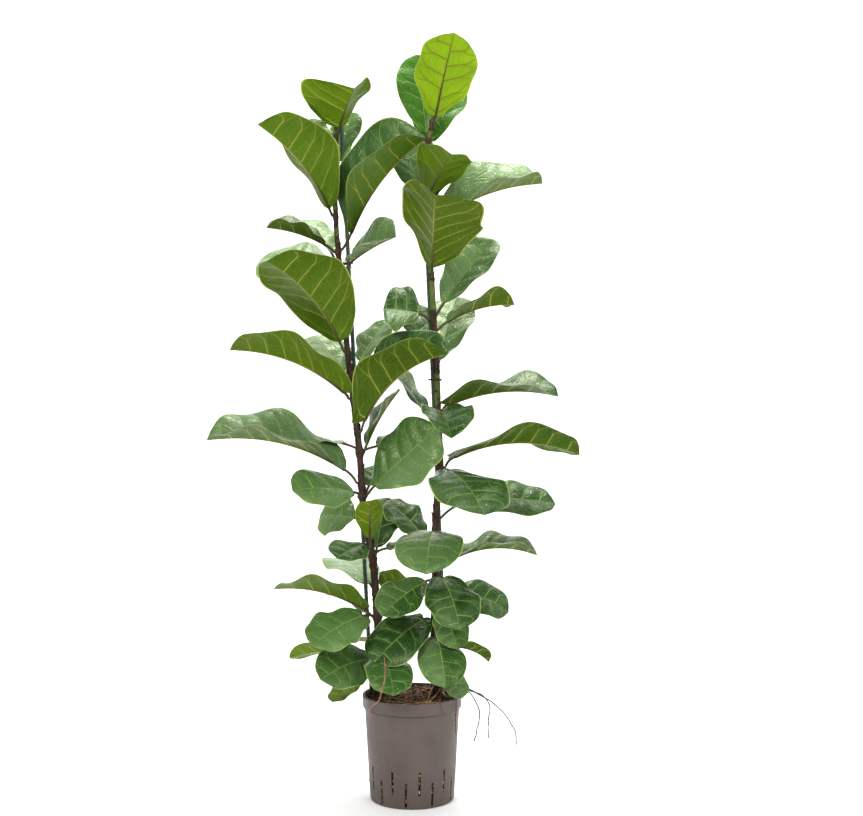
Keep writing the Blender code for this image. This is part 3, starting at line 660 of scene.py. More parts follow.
def midrib_line(side, row):
    """The stalk's points, then the blade's midrib sampled from behind its base to its tip."""
    _, height, heading, stalk, stalk_rise, rise, droop, length = row[:8]
    heading, stalk_rise = math.radians(heading), math.radians(stalk_rise)
    rise, droop, height = math.radians(rise), math.radians(droop), height / 100
    stem = smooth_path(STEMS[side], STEM_SPANS)
    start = np.array([np.interp(height, stem[:, 2], stem[:, 0]), 0.0, height])
    clear = stem_radius(height) + STALK_CLEAR + PETIOLE_RADIUS * math.sin(stalk_rise)
    points = [start + clear * direction(heading, 0.0)]
    for k in range(STALK_STEPS):
        angle = stalk_rise + (rise - stalk_rise) * (k + 0.5) / STALK_STEPS
        points.append(points[-1] + stalk / (100 * STALK_STEPS) * direction(heading, angle))
    shares = np.linspace(0.0, 1.0, BLADE_STEPS + 1)
    angles = rise - droop * (shares[:-1] + 0.5 / BLADE_STEPS)
    steps = length / (100 * BLADE_STEPS) * direction(heading, angles)
    blade = np.vstack([points[-1], points[-1] + np.cumsum(steps, 0)])
    return start, np.array(points), shares, blade, heading, rise, droop


def blade_frames(row, shares, blade, heading, rise, droop, along):
    """Point, left vector and upward vector at shares along the midrib."""
    length = row[7] / 100
    inside = np.clip(along, 0.0, 1.0)
    point = np.stack([np.interp(inside, shares, blade[:, i]) for i in range(3)], -1)
    angle = rise - droop * inside
    tangent = direction(heading, angle)
    point = point + ((along - inside) * length)[..., None] * tangent
    left = np.broadcast_to([-math.sin(heading), math.cos(heading), 0.0], tangent.shape)
    up = np.cross(tangent, left)
    roll = np.radians(row[9] + row[10] * inside)[..., None]
    return point, np.cos(roll) * left + np.sin(roll) * up, np.cos(roll) * up - np.sin(roll) * left


def smooth_step(value, low, high):
    """0 below low, 1 above high, and smooth between."""
    share = np.clip((value - low) / (high - low), 0.0, 1.0)
    return share * share * (3.0 - 2.0 * share)


def fan(s, reach):
    """Where a side vein that starts at s has got to, as a share of the blade's length."""
    lean = VEIN_LEAN * reach + VEIN_ARCH * reach ** 4
    return s + lean * (1.0 - np.exp(-s / FAN_FOOT)) * (1.0 - s)


BROAD_BASED = ("leaf_left_12", "leaf_left_13", "leaf_right_04", "leaf_right_14", "leaf_right_16",
               "leaf_right_19", "leaf_left_31")


class LeafShape:
    """One leaf's surface, as a map from (along the veins, across) to a point."""

    def __init__(self, side, row):
        self.row, self.name = row, f"leaf_{side}_{row[0]:02d}"
        self.random = np.random.default_rng(1000 * (side == "left") + row[0])
        self.start, self.stalk, self.shares, self.blade, *self.angles = midrib_line(side, row)
        self.length, self.width = row[7] / 100, row[8] / 100
        self.fold, self.shape = math.radians(row[11]), row[12]
        self.wave = self.random.uniform(0.030, 0.060) * (1.2 - 0.55 * self.shape) * self.width
        self.wave_turns = self.random.uniform(1.5, 2.6)
        self.wave_start = self.random.uniform(0.0, 1.0, 4)
        self.swell = self.random.uniform(0.012, 0.022) * self.width
        self.curl = self.random.uniform(-0.5, 0.9) * 0.035 * self.width
        self.broad = 1.0 if self.name in BROAD_BASED else float(smooth_step(self.shape, 0.55, 0.85))
        self.ripple = self.random.uniform(0.012, 0.036) * (1.15 - 0.75 * self.shape)
        pairs = max(3, round(self.length / VEIN_GAP))
        gap = (LAST_VEIN - FIRST_VEIN) / (pairs + 0.5)
        self.veins = []
        for offset in (0.0, 0.5):
            starts = FIRST_VEIN + gap * (np.arange(1, pairs + 1) + offset * 0.9)
            starts = starts + gap * self.random.uniform(-0.17, 0.17, pairs)
            ends = [FIRST_VEIN - gap, FIRST_VEIN, *starts, starts[-1] + 1.5 * gap]
            self.veins.append(np.array(ends))

    def counts(self, s):
        """Side veins counted along each half: the lowest is 0, and each next one a whole more."""
        return [np.interp(s, starts, np.arange(len(starts)) - 1.0) for starts in self.veins]

    def spacing(self, s, t):
        """Metres between two side veins, measured squarely to them."""
        starts = self.veins[0]
        gap = np.diff(starts)[np.clip(np.searchsorted(starts, s) - 1, 0, len(starts) - 2)]
        step = 1e-4
        stretch = (fan(s + step, np.abs(t)) - fan(s, np.abs(t))) / step
        return gap * np.maximum(stretch, 0.2) * self.length * VEIN_TILT

    def surface(self, s, t, lift=0.0):
        """Points for vein-following shares s and across shares t, lifted off the middle."""
        reach = np.abs(t)
        along = np.clip(fan(s, reach), 0.0, 1.0)
        share = half_width(along, self.shape)
        share = share * (1.0 - BASE_TAPER * (1.0 - self.broad) * np.exp(-(along / 0.14) ** 2))
        turn = 1.3 * self.wave_turns * along + np.where(t < 0, self.wave_start[2], self.wave_start[3])
        share = share * (1.0 + self.ripple * np.sin(2 * math.pi * turn))
        half = share * self.width / 2
        out_share = share * reach
        lobe = np.exp(-(along / LOBE_FOOT) ** 2) * np.sin(math.pi * np.clip(out_share / 0.75, 0.0, 1.0))
        reach_back = LOBE + (ROUND_LOBE - LOBE) * self.broad
        placed = along - reach_back * lobe + TIP * along ** 30 * (1.0 - np.clip(out_share, 0.0, 1.0)) ** 3
        point, left, up = blade_frames(self.row, self.shares, self.blade, *self.angles, placed)
        lean_at = self.fold + MARGIN_RELAX * reach
        sideways = (np.sin(lean_at) - math.sin(self.fold)) / MARGIN_RELAX
        upwards = (math.cos(self.fold) - np.cos(lean_at)) / MARGIN_RELAX
        hand = np.sign(t)
        rise = half * upwards + self.relief(s, t, along) + lift * np.cos(lean_at)
        out = half * sideways * hand - lift * np.sin(lean_at) * hand
        return point + out[..., None] * left + rise[..., None] * up, hand * reach * half

    def relief(self, s, t, along):
        """Swelling between the veins, hollows on them, and the waving margin."""
        reach = np.abs(t)
        left_count, right_count = self.counts(s)
        count = np.where(t < 0, right_count, left_count)
        off = np.abs((count + 0.5) % 1.0 - 0.5) * 2.0
        inner = smooth_step(reach, 0.02, 0.25) * (1.0 - smooth_step(reach, 0.78, 1.0))
        ends = smooth_step(along, 0.0, 0.12) * (1.0 - smooth_step(along, 0.88, 1.0))
        swell = self.swell * (np.sqrt(np.clip(off, 0, 1)) - 0.5) * inner * ends
        turn = self.wave_turns * along + np.where(t < 0, self.wave_start[0], self.wave_start[1])
        wave = self.wave * np.sin(2 * math.pi * turn) * reach ** 2.4 * ends
        curl = -self.curl * reach ** 4 * ends
        return swell + wave + curl


def blade_grid(shape):
    """Shares along and across for every point of one face of the blade."""
    rest = np.linspace(BASE_ROWS[-1], 1.0, max(16, round(0.87 * shape.length / ROW_GAP)))
    s = np.concatenate([BASE_ROWS[:-1], rest])
    t = np.array([-c for c in reversed(ACROSS_COLUMNS[1:])] + list(ACROSS_COLUMNS))
    return np.meshgrid(s, t, indexing="ij")


def store_measure(mesh, name, values):
    """Keep three numbers on every point of a mesh."""
    layer = mesh.attributes.new(name, "FLOAT_VECTOR", "POINT")
    layer.data.foreach_set("vector", np.asarray(values, np.float32).ravel())


def build_leaf(shape, age, tint, painted_sheen):
    """One leaf: upper face, lower face and the stalk that runs on as the midrib."""
    s, t = blade_grid(shape)
    rows, columns = s.shape
    skin = LEAF_THICKNESS / 2 * (1.0 - np.abs(t) ** 6)
    top, across = shape.surface(s, t, skin)
    under, _ = shape.surface(s, t, -skin)
    index = np.arange(rows * columns).reshape(rows, columns)
    index[0], index[-1] = index[0, 0], index[-1, 0]
    below = index + rows * columns
    below[0], below[-1] = index[0], index[-1]
    below[:, 0], below[:, -1] = index[:, 0], index[:, -1]
    quads, slots = [], []
    for grid, upper in ((index, True), (below, False)):
        a, b, c, d = grid[:-1, :-1], grid[1:, :-1], grid[1:, 1:], grid[:-1, 1:]
        corners = np.stack([a, b, c, d] if upper else [d, c, b, a], -1).reshape(-1, 4)
        for quad in corners.tolist():
            quads.append(tuple(dict.fromkeys(quad)))
            slots.append(0 if upper else 1)
    measures = np.stack([across, s * shape.length, shape.spacing(s, t)], -1)
    counts = np.stack([*shape.counts(s), np.zeros_like(s)], -1)
    chart = np.stack([0.5 + 0.5 * t, s], -1)
    points = np.concatenate([top.reshape(-1, 3), under.reshape(-1, 3)])
    measures = np.concatenate([measures.reshape(-1, 3)] * 2)
    counts = np.concatenate([counts.reshape(-1, 3)] * 2)
    chart = np.concatenate([chart.reshape(-1, 2)] * 2)
    rib_points, rib_faces, rib_along = stalk_and_rib(shape)
    quads += [tuple(i + len(points) for i in face) for face in rib_faces]
    slots += [2] * len(rib_faces)
    rib_measures = np.stack([np.zeros_like(rib_along), rib_along, rib_along], -1)
    measures = np.concatenate([measures, rib_measures])
    counts = np.concatenate([counts, np.zeros_like(rib_measures)])
    chart = np.concatenate([chart, np.stack([np.full_like(rib_along, 0.5), rib_along], -1)])
    points = np.concatenate([points, np.array(rib_points)])
    used = np.unique(np.concatenate([np.array(q) for q in quads]))
    renumber = np.zeros(len(points), int)
    renumber[used] = np.arange(len(used))
    quads = [tuple(renumber[list(q)].tolist()) for q in quads]
    finishes = [leaf_upper, leaf_under, leaf_stalk]
    piece = new_piece("grown_" + shape.name, points[used], quads, finishes, slots, BLADE_SHARP)
    mesh = piece.data
    store_measure(mesh, LEAF_MEASURES, measures[used])
    # The right half's painted sheen is stored with the counts, the left half's with the traits.
    counts[:, 2] = painted_sheen[1]
    store_measure(mesh, LEAF_COUNTS, counts[used])
    store_measure(mesh, LEAF_TRAITS, np.tile([age, tint, painted_sheen[0]], (len(used), 1)))
    corners = np.empty(len(mesh.loops), np.int32)
    mesh.loops.foreach_get("vertex_index", corners)
    layer = mesh.uv_layers.new(name="leaf_chart")
    layer.data.foreach_set("uv", chart[used][corners].astype(np.float32).ravel())
    return piece


def stalk_and_rib(shape):
    """A tube from the stem along the stalk, then half sunk into the blade's underside."""
    shares = np.linspace(0.02, 0.965, 26)
    radii = PETIOLE_RADIUS * (0.95 - 0.78 * shares ** 0.8)
    scale = min(1.0, max(0.6, shape.length / 0.16))
    point, _, up = blade_frames(shape.row, shape.shares, shape.blade, *shape.angles, shares)
    path = [shape.start] + list(shape.stalk) + list(point - up * (radii * scale * 0.62)[:, None])
    thick = [PETIOLE_RADIUS * 1.25] + [PETIOLE_RADIUS] * len(shape.stalk) + list(radii * scale)
    points, faces = tube(np.array(path), thick, RIB_SIDES)
    along = np.concatenate([[-0.03], np.linspace(-0.02, 0.0, len(shape.stalk)), shares * shape.length])
    along = np.concatenate([np.repeat(along, RIB_SIDES), [-0.03, along[-1]]])
    return points, faces, along


# %% [markdown]
# Young leaves sit at the tips, and age falls off with depth on the stem. Leaves that are
# paler than that rule gives are listed by name, and so are leaves with a painted sheen
# other than the random one. What the measured model holds
# as a plain solid is replaced; every finished blade is compared with the box of its solid.

# %% Grow all the leaves
OLD_GREEN = 0.12              # age of the topmost leaves that aren't listed
AGE_BY_NAME = {"leaf_right_01": 1.0, "leaf_right_02": 0.75, "leaf_right_03": 0.80,
               "leaf_right_04": 0.36, "leaf_right_05": 0.40, "leaf_right_07": 0.07,
               "leaf_left_01": 0.36, "leaf_left_02": 0.16, "leaf_left_03": 0.12,
               "leaf_left_05": 0.45, "leaf_right_23": 0.25, "leaf_left_34": 0.30,
               "leaf_left_36": 0.40, "leaf_left_39": 0.30, "leaf_left_23": 0.24,
               "leaf_left_11": 0.08, "leaf_left_12": 0.15, "leaf_left_31": 0.14,
               "leaf_left_33": 0.36, "leaf_left_21": 0.34, "leaf_left_20": 0.24,
               "leaf_left_35": 0.18, "leaf_right_20": 0.18, "leaf_left_38": 0.20,
               "leaf_right_29": 0.22, "leaf_right_25": 0.10, "leaf_right_30": 0.12}
# Painted sheen, a pale wash standing in for reflections, on the left and right half of each listed leaf.
PAINTED_SHEEN = {"leaf_left_13": (0.03, 0.62), "leaf_left_20": (0.15, 0.50), "leaf_left_21": (0.55, 0.35),
         "leaf_left_33": (0.45, 0.30), "leaf_left_35": (0.22, 0.12), "leaf_right_20": (0.25, 0.35),
         "leaf_left_25": (0.80, 0.70), "leaf_left_08": (0.75, 0.75), "leaf_left_10": (0.80, 0.80),
         "leaf_left_16": (0.60, 0.50), "leaf_right_08": (0.60, 0.20), "leaf_left_32": (0.75, 0.75),
         "leaf_right_31": (0.03, 0.00), "leaf_left_38": (0.05, 0.12), "leaf_right_17": (0.05, 0.18),
         "leaf_right_18": (0.00, 0.10), "leaf_right_21": (0.00, 0.05), "leaf_left_17": (0.05, 0.35),
         "leaf_right_25": (0.05, 0.40), "leaf_right_12": (0.50, 0.30), "leaf_right_06": (0.45, 0.20)}
PAINTED_SHEEN_MOST = 0.55             # the most painted sheen on one half of a leaf that isn't listed
sheen_random = np.random.default_rng(77)


def painted_sheen_of(name):
    """How much painted sheen the left and the right half of a leaf carry."""
    drawn = PAINTED_SHEEN_MOST * sheen_random.uniform(0.0, 1.0, 2) ** 2
    return PAINTED_SHEEN.get(name, tuple(drawn))


leaf_shapes = {}
worst = 0.0
for side, rows in LEAF_ROWS.items():
    for row in rows:
        shape = LeafShape(side, row)
        leaf_shapes[shape.name] = shape
        age = AGE_BY_NAME.get(shape.name, OLD_GREEN * smooth_step(row[1], 60.0, 110.0))
        tint = shape.random.uniform(0.0, 1.0)
        leaf = build_leaf(shape, float(age), float(tint), painted_sheen_of(shape.name))
        solid = [shape.name] if shape.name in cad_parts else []
        finish_piece(leaf, "leaf_young" if age == 1.0 else "leaf_green", *solid)
        if solid:
            low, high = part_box(shape.name)
            mine = np.array([v.co for v in leaf.data.vertices])
            gap = max(np.abs(mine.min(0) - low).max(), np.abs(mine.max(0) - high).max())
            worst = max(worst, gap)
print("leaf pieces:", len(leaf_shapes), "largest distance from a solid's box:", round(worst * 1000, 1), "mm")

# %% [markdown]
# ## Stems
# The stems are woody and dark below and still green near their tips. Each leaf leaves a
# swelling and a ring-shaped scar. A tube whose radius is worked out from its height gives
# all of this, because the nodes' heights are already in the leaf rows.

# %% Bark finish
wear_group, given, drawn = new_group(
    "streak_and_speck",
    [("Place", "NodeSocketVector", None), ("Scale", "NodeSocketFloat", 60.0),
     ("Stretch", "NodeSocketFloat", 6.0)],
    [("Streak", "NodeSocketFloat"), ("Speck", "NodeSocketFloat"), ("Height", "NodeSocketFloat")])
t = wear_group
x, y, z = split(t, given["Place"])
squeezed = join(t, x, y, calc(t, "DIVIDE", z, given["Stretch"]))
streak = speckle(t, squeezed, given["Scale"], 4.0, 0.6)
speck = speckle(t, given["Place"], times(t, given["Scale"], 3.1), 2.0, 0.7)
feed(t, remap(t, streak, 0.32, 0.68), drawn["Streak"])
feed(t, remap(t, speck, 0.58, 0.70), drawn["Speck"])
feed(t, plus(t, streak, times(t, speck, 0.5)), drawn["Height"])



def worn_material(name, scale, stretch, roughness, specular=0.5):
    """A material with its own coordinates and, at its own scale, the marks of wear."""
    material, tree, shader = new_material(name, roughness, specular)
    spot = own_place(tree)
    wear = use_group(tree, wear_group, {"Place": spot, "Scale": scale, "Stretch": stretch})
    return material, tree, shader, spot, wear


STEM_MEASURE = "stem_green"      # 0 where the bark is brown, 1 where it is still green

bark, t, shader, spot, wear = worn_material("fig_bark", 130.0, 4.0, roughness=0.72, specular=0.3)
greenness = add_node(t, "ShaderNodeAttribute", attribute_name=STEM_MEASURE).outputs["Fac"]
woody = blend_colours(t, wear["Streak"], (0.016, 0.007, 0.005), (0.062, 0.028, 0.018))
woody = blend_colours(t, times(t, wear["Speck"], 0.5), woody, (0.170, 0.110, 0.070))
tender = blend_colours(t, wear["Streak"], (0.060, 0.098, 0.014), (0.150, 0.180, 0.034))
patchy = minus(t, speckle(t, spot, 150.0, 3.0), 0.5)
uneven = plus(t, greenness, times(t, patchy, 2.4))
greening = times(t, remap(t, uneven, 0.40, 0.72), 0.92)
paint(t, shader, blend_colours(t, greening, woody, tender))
add_bump(t, shader, wear["Height"], 0.0016, 0.9)

# %% Grow the stems
STEM_SIDES = 18
STEM_RING_STEP = 0.0028
NODE_SWELL = 0.20
GREEN_FROM = {"left": (0.90, 1.16), "right": (0.54, 0.80)}   # heights over which bark turns green
BROWN_NEAR_NODE = 0.011       # dry bark reaches this far from each node
NODE_HALF_HEIGHT = 0.0045
CROWN_HEIGHT = 0.050          # flare of the stem's foot above the soil
CROWN_SPREAD = 0.75


def dense_path(points, step):
    """A smooth path with even steps."""
    path = smooth_path(points, 12)
    length = np.concatenate([[0.0], np.cumsum(np.linalg.norm(np.diff(path, axis=0), axis=1))])
    even = np.linspace(0.0, length[-1], max(2, int(length[-1] / step)))
    return np.stack([np.interp(even, length, path[:, i]) for i in range(3)], -1)


def build_stem(side):
    """A stem tube with swollen nodes, scars and an uneven skin."""
    path = dense_path(STEMS[side], STEM_RING_STEP)
    nodes = [row[1] / 100 for row in LEAF_ROWS[side]]
    radii = []
    for _, _, z in path:
        radius = stem_radius(z)
        for node in nodes:
            radius *= 1.0 + NODE_SWELL * math.exp(-((z - node + 0.003) / NODE_HALF_HEIGHT) ** 2)
        foot = max(0.0, 1.0 - (z - SOIL_TOP) / CROWN_HEIGHT)
        radius *= 1.0 + CROWN_SPREAD * min(1.0, foot) ** 2
        radii.append(radius)
    radii[-1], radii[-2] = 0.0012, 0.0022
    points, faces = tube(path, radii, STEM_SIDES)
    middle = np.repeat(path, STEM_SIDES, 0)
    rough = []
    for point, centre in zip(points[:-2], middle):
        bump = noise.noise(Vector(point) * 160.0) * 0.00055 + noise.noise(Vector(point) * 40.0) * 0.0006
        out = Vector(point) - Vector(centre)
        rough.append(Vector(point) + out.normalized() * bump)
    stem = new_piece("grown_stem_" + side, rough + points[-2:], faces, [bark])
    heights = np.array([v.co.z for v in stem.data.vertices])
    nearest = np.abs(heights[:, None] - np.array(nodes)[None, :] - 0.002).min(1)
    clear = smooth_step(nearest, 0.4 * BROWN_NEAR_NODE, BROWN_NEAR_NODE)
    green = smooth_step(heights, *GREEN_FROM[side]) * clear
    layer = stem.data.attributes.new(STEM_MEASURE, "FLOAT", "POINT")
    layer.data.foreach_set("value", green.astype(np.float32))
    return finish_piece(stem, "bark", "stem_" + side)


for side in STEMS:
    stem = build_stem(side)
    print(stem.name, len(stem.data.polygons), "faces")

# %% [markdown]
# ## Geometry Nodes helper
# Scales on the stems, ribs on the stakes and chips on the soil are all one small shape
# repeated by a rule. A tree of nodes places them, makes them real and gives them their
# material. The result is turned into a plain mesh, because an exported plant can't carry
# a modifier.

# %% Helpers for Geometry Nodes
FULL_TURN = 6.2832            # radians


def new_rule(name, inputs):
    """A Geometry Nodes tree with named inputs and one geometry in and out."""
    tree = bpy.data.node_groups.new(name, "GeometryNodeTree")
    tree.interface.new_socket("Geometry", in_out="INPUT", socket_type="NodeSocketGeometry")
    for label, kind in inputs:
        tree.interface.new_socket(label, in_out="INPUT", socket_type=kind)
    tree.interface.new_socket("Geometry", in_out="OUTPUT", socket_type="NodeSocketGeometry")
    return tree, tree.nodes.new("NodeGroupInput").outputs, tree.nodes.new("NodeGroupOutput").inputs


def random_vector(tree, low, high, seed):
    """A random vector between two corners."""
    node = add_node(tree, "FunctionNodeRandomValue", {"Min": low, "Max": high, "Seed": seed},
                    data_type="FLOAT_VECTOR")
    return node.outputs[0]


def random_number(tree, low, high, seed):
    """A random number between two limits."""
    node = tree.nodes.new("FunctionNodeRandomValue")
    node.data_type = "FLOAT"
    feed(tree, low, node.inputs[2])
    feed(tree, high, node.inputs[3])
    feed(tree, seed, node.inputs["Seed"])
    return node.outputs[1]


def set_copies(tree, points, shape, rotation, scale=None):
    """Copies of a shape on points, turned and sized by the values given."""
    inputs = {"Points": points, "Instance": shape, "Rotation": rotation}
    if scale is not None:
        inputs["Scale"] = join(tree, scale, scale, scale)
    return add_node(tree, "GeometryNodeInstanceOnPoints", inputs).outputs[0]


def shape_of(tree, carrier):
    """The shape of an object that the tree is given."""
    return add_node(tree, "GeometryNodeObjectInfo", {"Object": carrier}).outputs["Geometry"]


def make_real(tree, copies):
    """Turn copies into a mesh of their own, because the export drops copies."""
    return add_node(tree, "GeometryNodeRealizeInstances", {"Geometry": copies}).outputs[0]


def end_rule(tree, shape, finish, made):
    """Give the shape its material and send it out of the tree."""
    coated = add_node(tree, "GeometryNodeSetMaterial", {"Geometry": shape, "Material": finish})
    feed(tree, coated.outputs[0], made["Geometry"])


def apply_rule(name, carrier, tree, values, sharp_degrees=50.0):
    """Run a tree on a carrier object and keep the result as a plain mesh object."""
    modifier = carrier.modifiers.new("rule", "NODES")
    modifier.node_group = tree
    for item in tree.interface.items_tree:
        if item.in_out == "INPUT" and item.name in values:
            modifier[item.identifier] = values[item.name]
    carrier.update_tag()
    bpy.context.view_layer.update()
    graph = bpy.context.evaluated_depsgraph_get()
    mesh = bpy.data.meshes.new_from_object(carrier.evaluated_get(graph))
    carrier.modifiers.remove(modifier)
    bpy.data.objects.remove(carrier, do_unlink=True)
    mesh.name = name
    mesh.shade_smooth()
    mesh.set_sharp_from_angle(angle=math.radians(sharp_degrees))
    piece = bpy.data.objects.new(name, mesh)
    bpy.context.scene.collection.objects.link(piece)
    return piece


def polyline(name, points):
    """A loose chain of edges that a tree turns into a curve."""
    mesh = bpy.data.meshes.new(name)
    mesh.from_pydata([tuple(p) for p in points], [(i, i + 1) for i in range(len(points) - 1)], [])
    carrier = bpy.data.objects.new(name, mesh)
    bpy.context.scene.collection.objects.link(carrier)
    return carrier


# %% [markdown]
# ## Dry scales
# Each leaf bud is wrapped in a pair of scales. They dry to brown papery flaps that cling to
# the stem round every node, and make it look shaggy. One curved flap is modelled once, then
# set at each node and thinly over the old wood, turned and sized at random.

# %% Scale finish
husk, t, shader, spot, wear = worn_material("dry_scale", 210.0, 5.0, roughness=0.68, specular=0.3)
height_up = split(t, spot)[2]
old = blend_colours(t, wear["Streak"], (0.016, 0.007, 0.006), (0.070, 0.032, 0.018))
new = blend_colours(t, wear["Streak"], (0.050, 0.016, 0.020), (0.130, 0.055, 0.040))
paint(t, shader, blend_colours(t, remap(t, height_up, 0.95, 1.20), old, new))
add_bump(t, shader, wear["Height"], 0.0006, 0.8)

# %% Set the scales
FLAP_LENGTH = 0.0135
FLAP_HALF_TURN = 1.15         # radians of the stem that a flap wraps, each way
FLAP_SKIN = 0.0004


def flap_object():
    """One closed thin flap round a stem of radius 1, growing along +Z."""
    rows, columns = 6, 5
    points, faces = [], []
    for skin in (0.0, FLAP_SKIN / 0.006):
        for i in range(rows):
            share = i / (rows - 1)
            flare = 1.02 + 0.30 * share ** 2.4
            wrap = FLAP_HALF_TURN * (1.0 - share ** 1.7) + 0.05
            for j in range(columns):
                turn = wrap * (2.0 * j / (columns - 1) - 1.0)
                radius = flare + skin
                points.append((radius * math.cos(turn), radius * math.sin(turn), share))
    half = rows * columns
    for i in range(rows - 1):
        for j in range(columns - 1):
            a, d = i * columns + j, (i + 1) * columns + j
            b, c = a + 1, d + 1
            faces.append((d, c, b, a))
            faces.append((a + half, b + half, c + half, d + half))
    loop = [j for j in range(columns)] + [i * columns + columns - 1 for i in range(1, rows)]
    loop += [(rows - 1) * columns + j for j in range(columns - 2, -1, -1)]
    loop += [i * columns for i in range(rows - 2, 0, -1)]
    for k, here in enumerate(loop):
        there = loop[(k + 1) % len(loop)]
        faces.append((here, there, there + half, here + half))
    return new_piece("flap", points, faces, [])


scale_rule, given, made = new_rule(
    "stem_scale_rule",
    [("Flap", "NodeSocketObject"), ("Length", "NodeSocketFloat"), ("Foot Radius", "NodeSocketFloat"),
     ("Foot Height", "NodeSocketFloat"), ("Taper", "NodeSocketFloat"), ("Seed", "NodeSocketInt"),
     ("Finish", "NodeSocketMaterial")])
t = scale_rule
lean = random_vector(t, (-0.10, -0.10, 0.0), (0.10, 0.10, FULL_TURN), given["Seed"])
placed = set_copies(t, given["Geometry"], shape_of(t, given["Flap"]), lean)
height_up = split(t, add_node(t, "GeometryNodeInputPosition").outputs[0])[2]
above = minus(t, height_up, given["Foot Height"])
radius = minus(t, given["Foot Radius"], times(t, given["Taper"], above))
long = times(t, given["Length"], random_number(t, 0.55, 1.25, plus(t, given["Seed"], 7.0)))
size_of_each = join(t, radius, radius, long)
sized = add_node(t, "GeometryNodeScaleInstances",
                 {"Instances": placed, "Scale": size_of_each, "Local Space": True}).outputs[0]
end_rule(t, make_real(t, sized), given["Finish"], made)

SCALE_FOOT = 0.235            # no scales below this height
SCALE_TOP = 1.215             # nor above this one
SCALE_SEED = 11
WOODY_SCALE_STEP = 0.017      # old wood keeps a few scattered ones as well
flap = flap_object()
for seed, side in enumerate(STEMS):
    path = dense_path(STEMS[side], 0.004)
    nodes = [row[1] / 100 for row in LEAF_ROWS[side]]
    heights = [node + shift for node in nodes for shift in (-0.006, 0.001)]
    heights += list(np.arange(SCALE_FOOT, GREEN_FROM[side][0], WOODY_SCALE_STEP))
    heights = [z for z in heights if SCALE_FOOT < z < SCALE_TOP]
    spots = [(np.interp(z, path[:, 2], path[:, 0]), 0.0, z) for z in sorted(heights)]
    carrier = polyline("scale_points", spots)
    scales = apply_rule("stem_scales_" + side, carrier, scale_rule, {
        "Flap": flap, "Length": FLAP_LENGTH,
        "Foot Radius": stem_radius(SCALE_FOOT), "Foot Height": SCALE_FOOT,
        "Taper": STEM_THINNING / TAPER_HEIGHT, "Seed": SCALE_SEED + seed, "Finish": husk})
    finish_piece(scales, "bark")
    print(scales.name, len(scales.data.polygons), "faces")
bpy.data.objects.remove(flap, do_unlink=True)

# %% [markdown]
# ## Stakes
# Each stem is held up by a garden stake: a steel rod in green plastic, ribbed so that the
# ties can't slip. A curve swept with a circle makes the rod, and a bead repeated along it
# makes the ribs.

# %% Stake finish
stake_skin, t, shader, spot, wear = worn_material("ribbed_green_plastic", 90.0, 12.0, roughness=0.42)
tone = blend_colours(t, wear["Streak"], (0.016, 0.050, 0.026), (0.040, 0.095, 0.052))
paint(t, shader, blend_colours(t, times(t, wear["Speck"], 0.5), tone, (0.110, 0.140, 0.110)))
feed(t, remap(t, wear["Streak"], 0.0, 1.0, 0.36, 0.52), shader.inputs["Roughness"])
add_bump(t, shader, wear["Height"], 0.0003, 0.5)

# %% Set the stakes
STAKE_RADIUS = 0.0040
RIB_RADIUS = 0.0008
RIB_STEP = 0.011
STAKE_BACK = 0.017            # the stakes stand this far behind the stems
STAKES = {
    "left": ((-0.072, STAKE_BACK, FOOT), (-0.128, STAKE_BACK, 1.227)),
    "right": ((0.065, STAKE_BACK, FOOT), (0.024, STAKE_BACK, 1.06)),
}


def circle(tree, sides, radius):
    """A round curve."""
    inputs = {"Resolution": sides, "Radius": radius}
    return add_node(tree, "GeometryNodeCurvePrimitiveCircle", inputs).outputs[0]


def sweep(tree, path, outline, capped):
    """A mesh made by carrying an outline along a path."""
    inputs = {"Curve": path, "Profile Curve": outline, "Fill Caps": capped}
    return add_node(tree, "GeometryNodeCurveToMesh", inputs).outputs[0]


stake_rule, given, made = new_rule(
    "ribbed_stake_rule",
    [("Radius", "NodeSocketFloat"), ("Rib", "NodeSocketFloat"), ("Count", "NodeSocketInt"),
     ("Finish", "NodeSocketMaterial")])
t = stake_rule
line = add_node(t, "GeometryNodeMeshToCurve", {"Mesh": given["Geometry"]}).outputs[0]
rod = sweep(t, line, circle(t, 20, given["Radius"]), True)
bead = sweep(t, circle(t, 16, given["Radius"]), circle(t, 6, given["Rib"]), False)
stations = add_node(t, "GeometryNodeCurveToPoints", {"Curve": line, "Count": given["Count"]}).outputs
beads = set_copies(t, stations["Points"], bead, stations["Rotation"])
both = t.nodes.new("GeometryNodeJoinGeometry")
t.links.new(rod, both.inputs[0])
t.links.new(make_real(t, beads), both.inputs[0])
end_rule(t, both.outputs[0], given["Finish"], made)
for side, ends in STAKES.items():
    length = (Vector(ends[1]) - Vector(ends[0])).length
    stake = apply_rule("grown_stake_" + side, polyline("stake_line", ends), stake_rule, {
        "Radius": STAKE_RADIUS - RIB_RADIUS / 2, "Rib": RIB_RADIUS, "Count": int(length / RIB_STEP),
        "Finish": stake_skin})
    finish_piece(stake, "stake_plastic", "stake_" + side)
    print(stake.name, len(stake.data.polygons), "faces")

# %% [markdown]
# ## Ties
# A twist of dull brown cord holds each stem to its stake. Two strands are wound round one
# another along an oval, and their loose ends stick out at the front.

# %% Tie the stems
TIE_STRAND = 0.0008           # radius of one strand
TIE_TWISTS = 17
TIE_STEPS = 144
TIE_SIDES = 6
tie_cord, t, shader, spot, wear = worn_material("twisted_cord", 600.0, 1.0, roughness=0.75, specular=0.25)
paint(t, shader, blend_colours(t, wear["Streak"], (0.028, 0.017, 0.010), (0.120, 0.075, 0.042)))
add_bump(t, shader, wear["Height"], 0.0004, 0.8)


